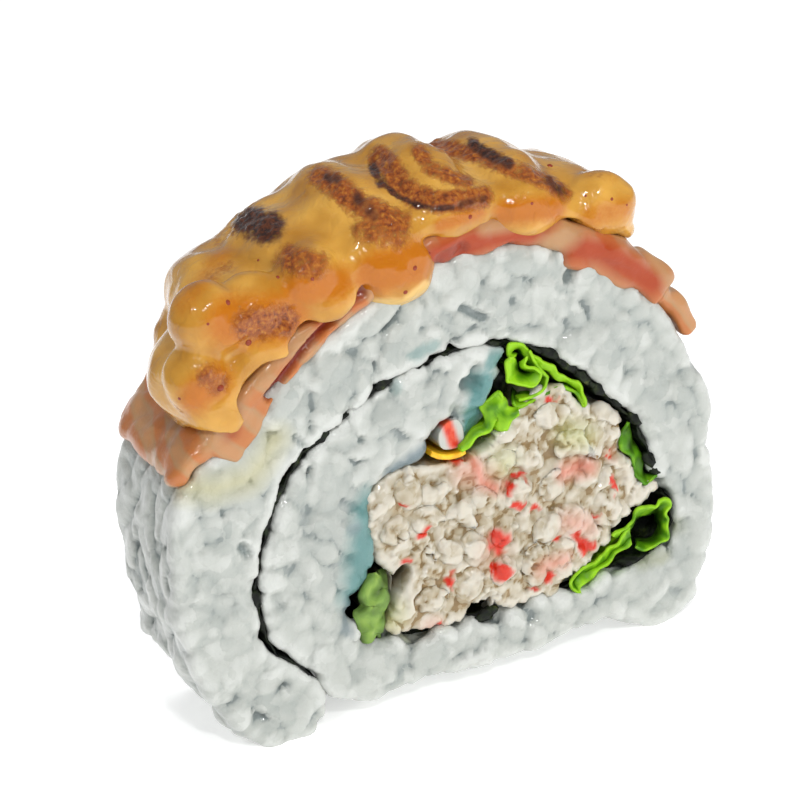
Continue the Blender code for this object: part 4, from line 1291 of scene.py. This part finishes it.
# The lobes' front ends: where each shows on the cut face, its half width, half height and half depth, and its
# turn in degrees.
LOBE_ENDS = [
    (-24.3, 36.9, 2.9, 3.5, 2.8, -15), (-18.6, 41.6, 4.5, 3.5, 2.8, 10), (-12.4, 43.0, 3.6, 3.5, 2.8, 20),
    (-4.2, 42.3, 3.9, 3.8, 2.9, 5), (2.6, 46.3, 3.9, 3.0, 2.6, 0), (9.6, 45.1, 4.2, 3.1, 2.7, -8),
    (17.4, 43.3, 3.7, 3.2, 2.8, -20), (-22.4, 41.8, 3.6, 3.6, 3.0, -30),
]

# The line that the sauce's top follows against the background, from left to right, where the ridges merge.
BACK_LINE = [
    (-26.2, 40.5), (-25.4, 43.6), (-23.6, 46.6), (-21.4, 49.2), (-18.0, 50.6), (-14.6, 52.2), (-11.0, 53.6),
    (-7.4, 54.4), (-3.6, 54.2), (0.0, 53.8), (4.0, 53.2), (7.6, 51.4), (10.6, 49.2), (13.6, 47.4),
    (17.0, 46.2),
]


def lobe_end(x, z, wide, high, deep, turn, number, y=-7.6):
    """A ball of sauce at the end of a piped ridge."""
    bpy.ops.object.select_all(action="DESELECT")
    bpy.ops.mesh.primitive_uv_sphere_add(segments=32, ring_count=20, radius=1)
    return set_down(bpy.context.object, f"lobe_{number}", (wide, deep, high), turn, x, z, y)


spread = cad_copy("sauce", "spread")
worked(spread, "SUBSURF", levels=2, render_levels=2)
melted(spread, 0.35 * MM, smoothing=6)
worked(spread, "DISPLACE", strength=0.1 * MM, mid_level=0)
merged = []
for a, b in zip(BACK_LINE, BACK_LINE[1:]):
    for share in (0, 0.5):
        at_x, at_z = (a[k] + (b[k] - a[k]) * share for k in (0, 1))
        merged.append(lobe_end(at_x, at_z - 2.6, 2.7, 2.5, 5.0, turn=0, number=len(merged) + 20, y=3.2))
sauce = joined([spread] + [lobe_end(*end, k) for k, end in enumerate(LOBE_ENDS)] + merged, "flamed_sauce")
melted(sauce, SAUCE_VOXEL, smoothing=16)
_, w = as_seen(coordinates(sauce))
upper = sauce.vertex_groups.new(name="upper")
for k, share in enumerate(np.clip((w - UPPER_FROM) / 3, 0, 1).tolist()):
    upper.add([k], share, "REPLACE")
worked(sauce, "SMOOTH", factor=0.5, iterations=160, vertex_group="upper")

# Where the flame has charred and browned the sauce, where it has melted to amber, and the drip's pale rim, as
# seen from the photograph's side.
CHAR_MARKS = [
    ([(-17.8, 50.6), (-15.8, 49.2)], 1.6, 1.0),
    ([(-5.0, 52.8), (-4.7, 51.6), (-4.2, 50.4)], 0.5, 0.9),
    ([(-4.2, 50.4), (-2.6, 48.6), (-1.0, 47.4), (0.6, 46.6), (2.4, 46.3)], 0.3, 0.8),
    ([(5.2, 52.6), (7.0, 50.6), (8.6, 49.2)], 0.6, 0.9),
    ([(-9.6, 52.6), (-8.4, 52.0)], 0.6, 0.6),
    ([(12.2, 46.8), (13.6, 45.2)], 0.6, 0.6),
    ([(-6.8, 49.6), (-5.4, 47.6)], 0.7, 0.6),
    ([(3.2, 46.4), (5.6, 46.4)], 0.5, 0.6),
]
BROWN_MARKS = [
    ([(-10.4, 53.0), (-8.6, 51.2), (-6.8, 49.0), (-4.4, 47.2), (-3.0, 46.2)], 1.2, 0.9),
    (
        [(-4.2, 53.4), (-3.2, 51.8), (-2.4, 50.0), (-1.2, 48.4), (1.0, 47.2), (3.4, 46.8), (5.4, 46.6)],
        1.1,
        1.0,
    ),
    ([(-0.2, 52.8), (0.6, 50.8), (2.4, 49.4), (4.2, 48.4)], 0.8, 0.8),
    ([(1.6, 53.6), (4.4, 51.8), (6.6, 50.4), (8.4, 49.0)], 0.9, 0.9),
    ([(9.0, 48.6), (10.8, 47.4), (12.5, 46.3), (13.8, 45.0)], 0.9, 0.8),
    ([(-18.6, 40.4), (-15.2, 39.9)], 1.5, 0.9),
    ([(-14.2, 45.6), (-11.6, 44.2)], 1.4, 0.8),
    ([(-6.6, 46.4), (-3.2, 44.8)], 1.3, 0.7),
    ([(-23.2, 36.8), (-22.2, 35.8)], 1.1, 0.7),
    ([(-21.0, 49.6), (-18.5, 50.8)], 0.9, 0.4),
    ([(-21.8, 46.2), (-20.0, 46.4)], 0.8, 0.35),
    ([(16.6, 46.8), (18.4, 46.0)], 0.7, 0.3),
]
AMBER_MARKS = [
    ([(-20.0, 41.2), (-15.0, 40.0)], 2.6, 0.9),
    ([(-13.5, 42.4), (-9.5, 42.0)], 2.0, 0.8),
    ([(-6.0, 42.0), (-2.0, 42.2)], 2.2, 0.95),
    ([(-24.4, 35.2), (-22.4, 36.0)], 2.0, 0.8),
    ([(-24.4, 44.0), (-21.0, 47.5)], 1.8, 0.5),
    ([(1.0, 44.9), (5.0, 45.2)], 0.9, 0.7),
    ([(7.6, 44.6), (12.6, 43.8)], 1.4, 0.85),
    ([(16.0, 42.2), (19.6, 42.0)], 1.6, 0.6),
    ([(15.5, 47.0), (19.0, 45.4)], 1.2, 0.35),
]
RIM_MARKS = [([(-6.4, 39.4), (-3.6, 38.6), (-1.2, 39.8)], 0.55, 0.8)]

co = coordinates(sauce)
normals = normals_of(sauce)
co += normals * (rough(co, 3.0, 0.35, 6))[:, None]
u, w = as_seen(co)
ragged = rough(np.stack([u, w, w * 0], 1), 0.9, 0.45, 7)
brown = np.clip(toward_marks(u, w, BROWN_MARKS, 0.5) * (1 + ragged), 0, 1)
char = np.clip(toward_marks(u, w, CHAR_MARKS, 0.6) * (1 + ragged), 0, 1)
amber = toward_marks(u, w, AMBER_MARKS, 0.7)
crust = np.clip(brown + char, 0, 1)
touched = crust > 0.05
blisters = np.zeros(len(co))
blisters[touched] = rough(co[touched], 0.55, 0.24, 8) + rough(co[touched], 1.3, 0.22, 9)
co += normals * (blisters * crust + amber * rough(co, 1.8, 0.3, 10))[:, None]
set_coordinates(sauce, co)
write_attribute(sauce, "relief", np.clip(0.5 + below_smoothed(sauce, 60) / 0.9, 0, 1))
write_attribute(sauce, "brown", brown)
write_attribute(sauce, "char", char)
write_attribute(sauce, "amber", amber)
write_attribute(sauce, "rim", toward_marks(u, w, RIM_MARKS, 0.6))


def flamed_sauce():
    """Flamed mayonnaise: an oily cream, smooth and tan, that turns amber as its oil runs and blisters brown
    and then purple-black where the flame stays."""
    finish, tree, shader = new_material("flamed spicy mayonnaise", {
        "IOR": 1.45,
        "Specular IOR Level": 0.25,
        "Subsurface Weight": 0.2,
        "Subsurface Radius": (1.0, 0.7, 0.3),
        "Subsurface Scale": 0.6 * MM,
        "Coat Weight": 0.65,
        "Coat Roughness": 0.03,
    })
    place = node(tree, "ShaderNodeTexCoord", {}).outputs["Object"]
    soft = node(tree, "ShaderNodeTexNoise", {"Scale": 1 / (5 * MM), "Detail": 2.0}, {"Vector": place})
    bubbles = {"Scale": 1 / (0.45 * MM), "Detail": 5.0, "Roughness": 0.6}
    grain = node(tree, "ShaderNodeTexNoise", bubbles, {"Vector": place}).outputs["Fac"]
    base, scorched, burnt = (
        node(tree, "ShaderNodeValToRGB", {"ramp": ramp}, {"Fac": spread}).outputs["Color"]
        for ramp, spread in (
            ([(0.35, SAUCE_TAN), (0.65, SAUCE_LIGHT)], soft.outputs["Fac"]),
            ([(0.32, BROWN_DARK), (0.5, BROWN), (0.72, BROWN_LIGHT)], grain),
            ([(0.4, CHAR_DARK), (0.62, CHAR)], grain),
        )
    )
    masks = {}
    for name, colour, bite in (
        ("relief", linear(SAUCE_PALE), 0.1),
        ("amber", linear(SAUCE_AMBER), 0.3),
        ("rim", linear(SAUCE_PALE), 0.1),
        ("brown", scorched, 1.1),
        ("char", burnt, 0.9),
    ):
        spread = node(tree, "ShaderNodeAttribute", {"attribute_name": name}).outputs["Fac"]
        uneven = node(
            tree, "ShaderNodeMath", {"operation": "MULTIPLY_ADD", 1: bite, 2: -bite / 2}, {0: grain}
        ).outputs["Value"]
        raised = node(tree, "ShaderNodeMath", {"operation": "ADD"}, {0: spread, 1: uneven}).outputs["Value"]
        lowest, highest = (0.62, 1.0) if name == "relief" else (0.2, 0.8)
        masks[name] = node(
            tree,
            "ShaderNodeMapRange",
            {"From Min": lowest, "From Max": highest, "interpolation_type": "SMOOTHSTEP"},
            {"Value": raised},
        ).outputs["Result"]
        mixed = {"Fac": masks[name], "Color1": base}
        if isinstance(colour, list):
            base = node(tree, "ShaderNodeMixRGB", {"Color2": colour}, mixed).outputs["Color"]
        else:
            base = node(tree, "ShaderNodeMixRGB", {}, {**mixed, "Color2": colour}).outputs["Color"]
    dull = node(tree, "ShaderNodeMapRange", {"To Min": 0.16, "To Max": 0.36}, {"Value": masks["brown"]})
    tree.links.new(dull.outputs["Result"], shader.inputs["Roughness"])
    ripple_size = {"Scale": 1 / (1.5 * MM), "Detail": 2.0, "Distortion": 0.6}
    ripple = node(tree, "ShaderNodeTexNoise", ripple_size, {"Vector": place}).outputs["Fac"]
    crust = node(tree, "ShaderNodeMath", {"operation": "MULTIPLY"}, {0: masks["brown"], 1: grain})
    mixed = {0: ripple, 2: crust.outputs["Value"]}
    height = node(tree, "ShaderNodeMath", {"operation": "MULTIPLY_ADD", 1: 1.6}, mixed)
    skinned(tree, shader, base, height.outputs["Value"], strength=0.8, depth=0.2)
    return finish


finished(sauce, flamed_sauce(), "sauce", "sauce")

# Specks in the sauce
# Chilli and roe: red-brown grains of about half a millimetre that lie in the sauce's skin.
CHILLI, SPECK_RADIUS = "#8A3418", 0.27

SPECKS = [
    (-26.0, 35.4), (-21.9, 35.3), (-22.3, 41.4), (-20.2, 42.9), (-17.1, 46.3), (-15.3, 44.1), (-18.8, 38.8),
    (-12.0, 43.0), (-2.0, 41.6), (-0.6, 44.1), (-0.4, 42.7), (-3.2, 39.6), (4.0, 45.0), (10.3, 44.8),
    (12.9, 48.3), (15.9, 44.3), (18.5, 43.3), (20.0, 42.4),
]
away = Vector((SEEN_LEFT, 1, -SEEN_UP)).normalized()
surface = BVHTree.FromObject(sauce, bpy.context.evaluated_depsgraph_get())
draw = random.Random(8)
places = []
for x, z in SPECKS:
    start = Vector((x + MIDDLE_X, -HALF, z)) * MM - away * 0.05
    hit, out = surface.ray_cast(start, away)[:2]
    if hit is not None:
        size = [draw.uniform(0.7, 1.3)] * 3
        places.append(placed(hit / MM - out * 0.15, out, (1, 0.3, 0.2), size))
bpy.ops.object.select_all(action="DESELECT")
bpy.ops.mesh.primitive_ico_sphere_add(subdivisions=2, radius=SPECK_RADIUS * MM)
specks = strewn("sauce_specks", bpy.context.object, places)
chilli = new_material("chilli specks", {"Base Color": linear(CHILLI), "Roughness": 0.25})[0]
finished(specks, chilli, "sauce")
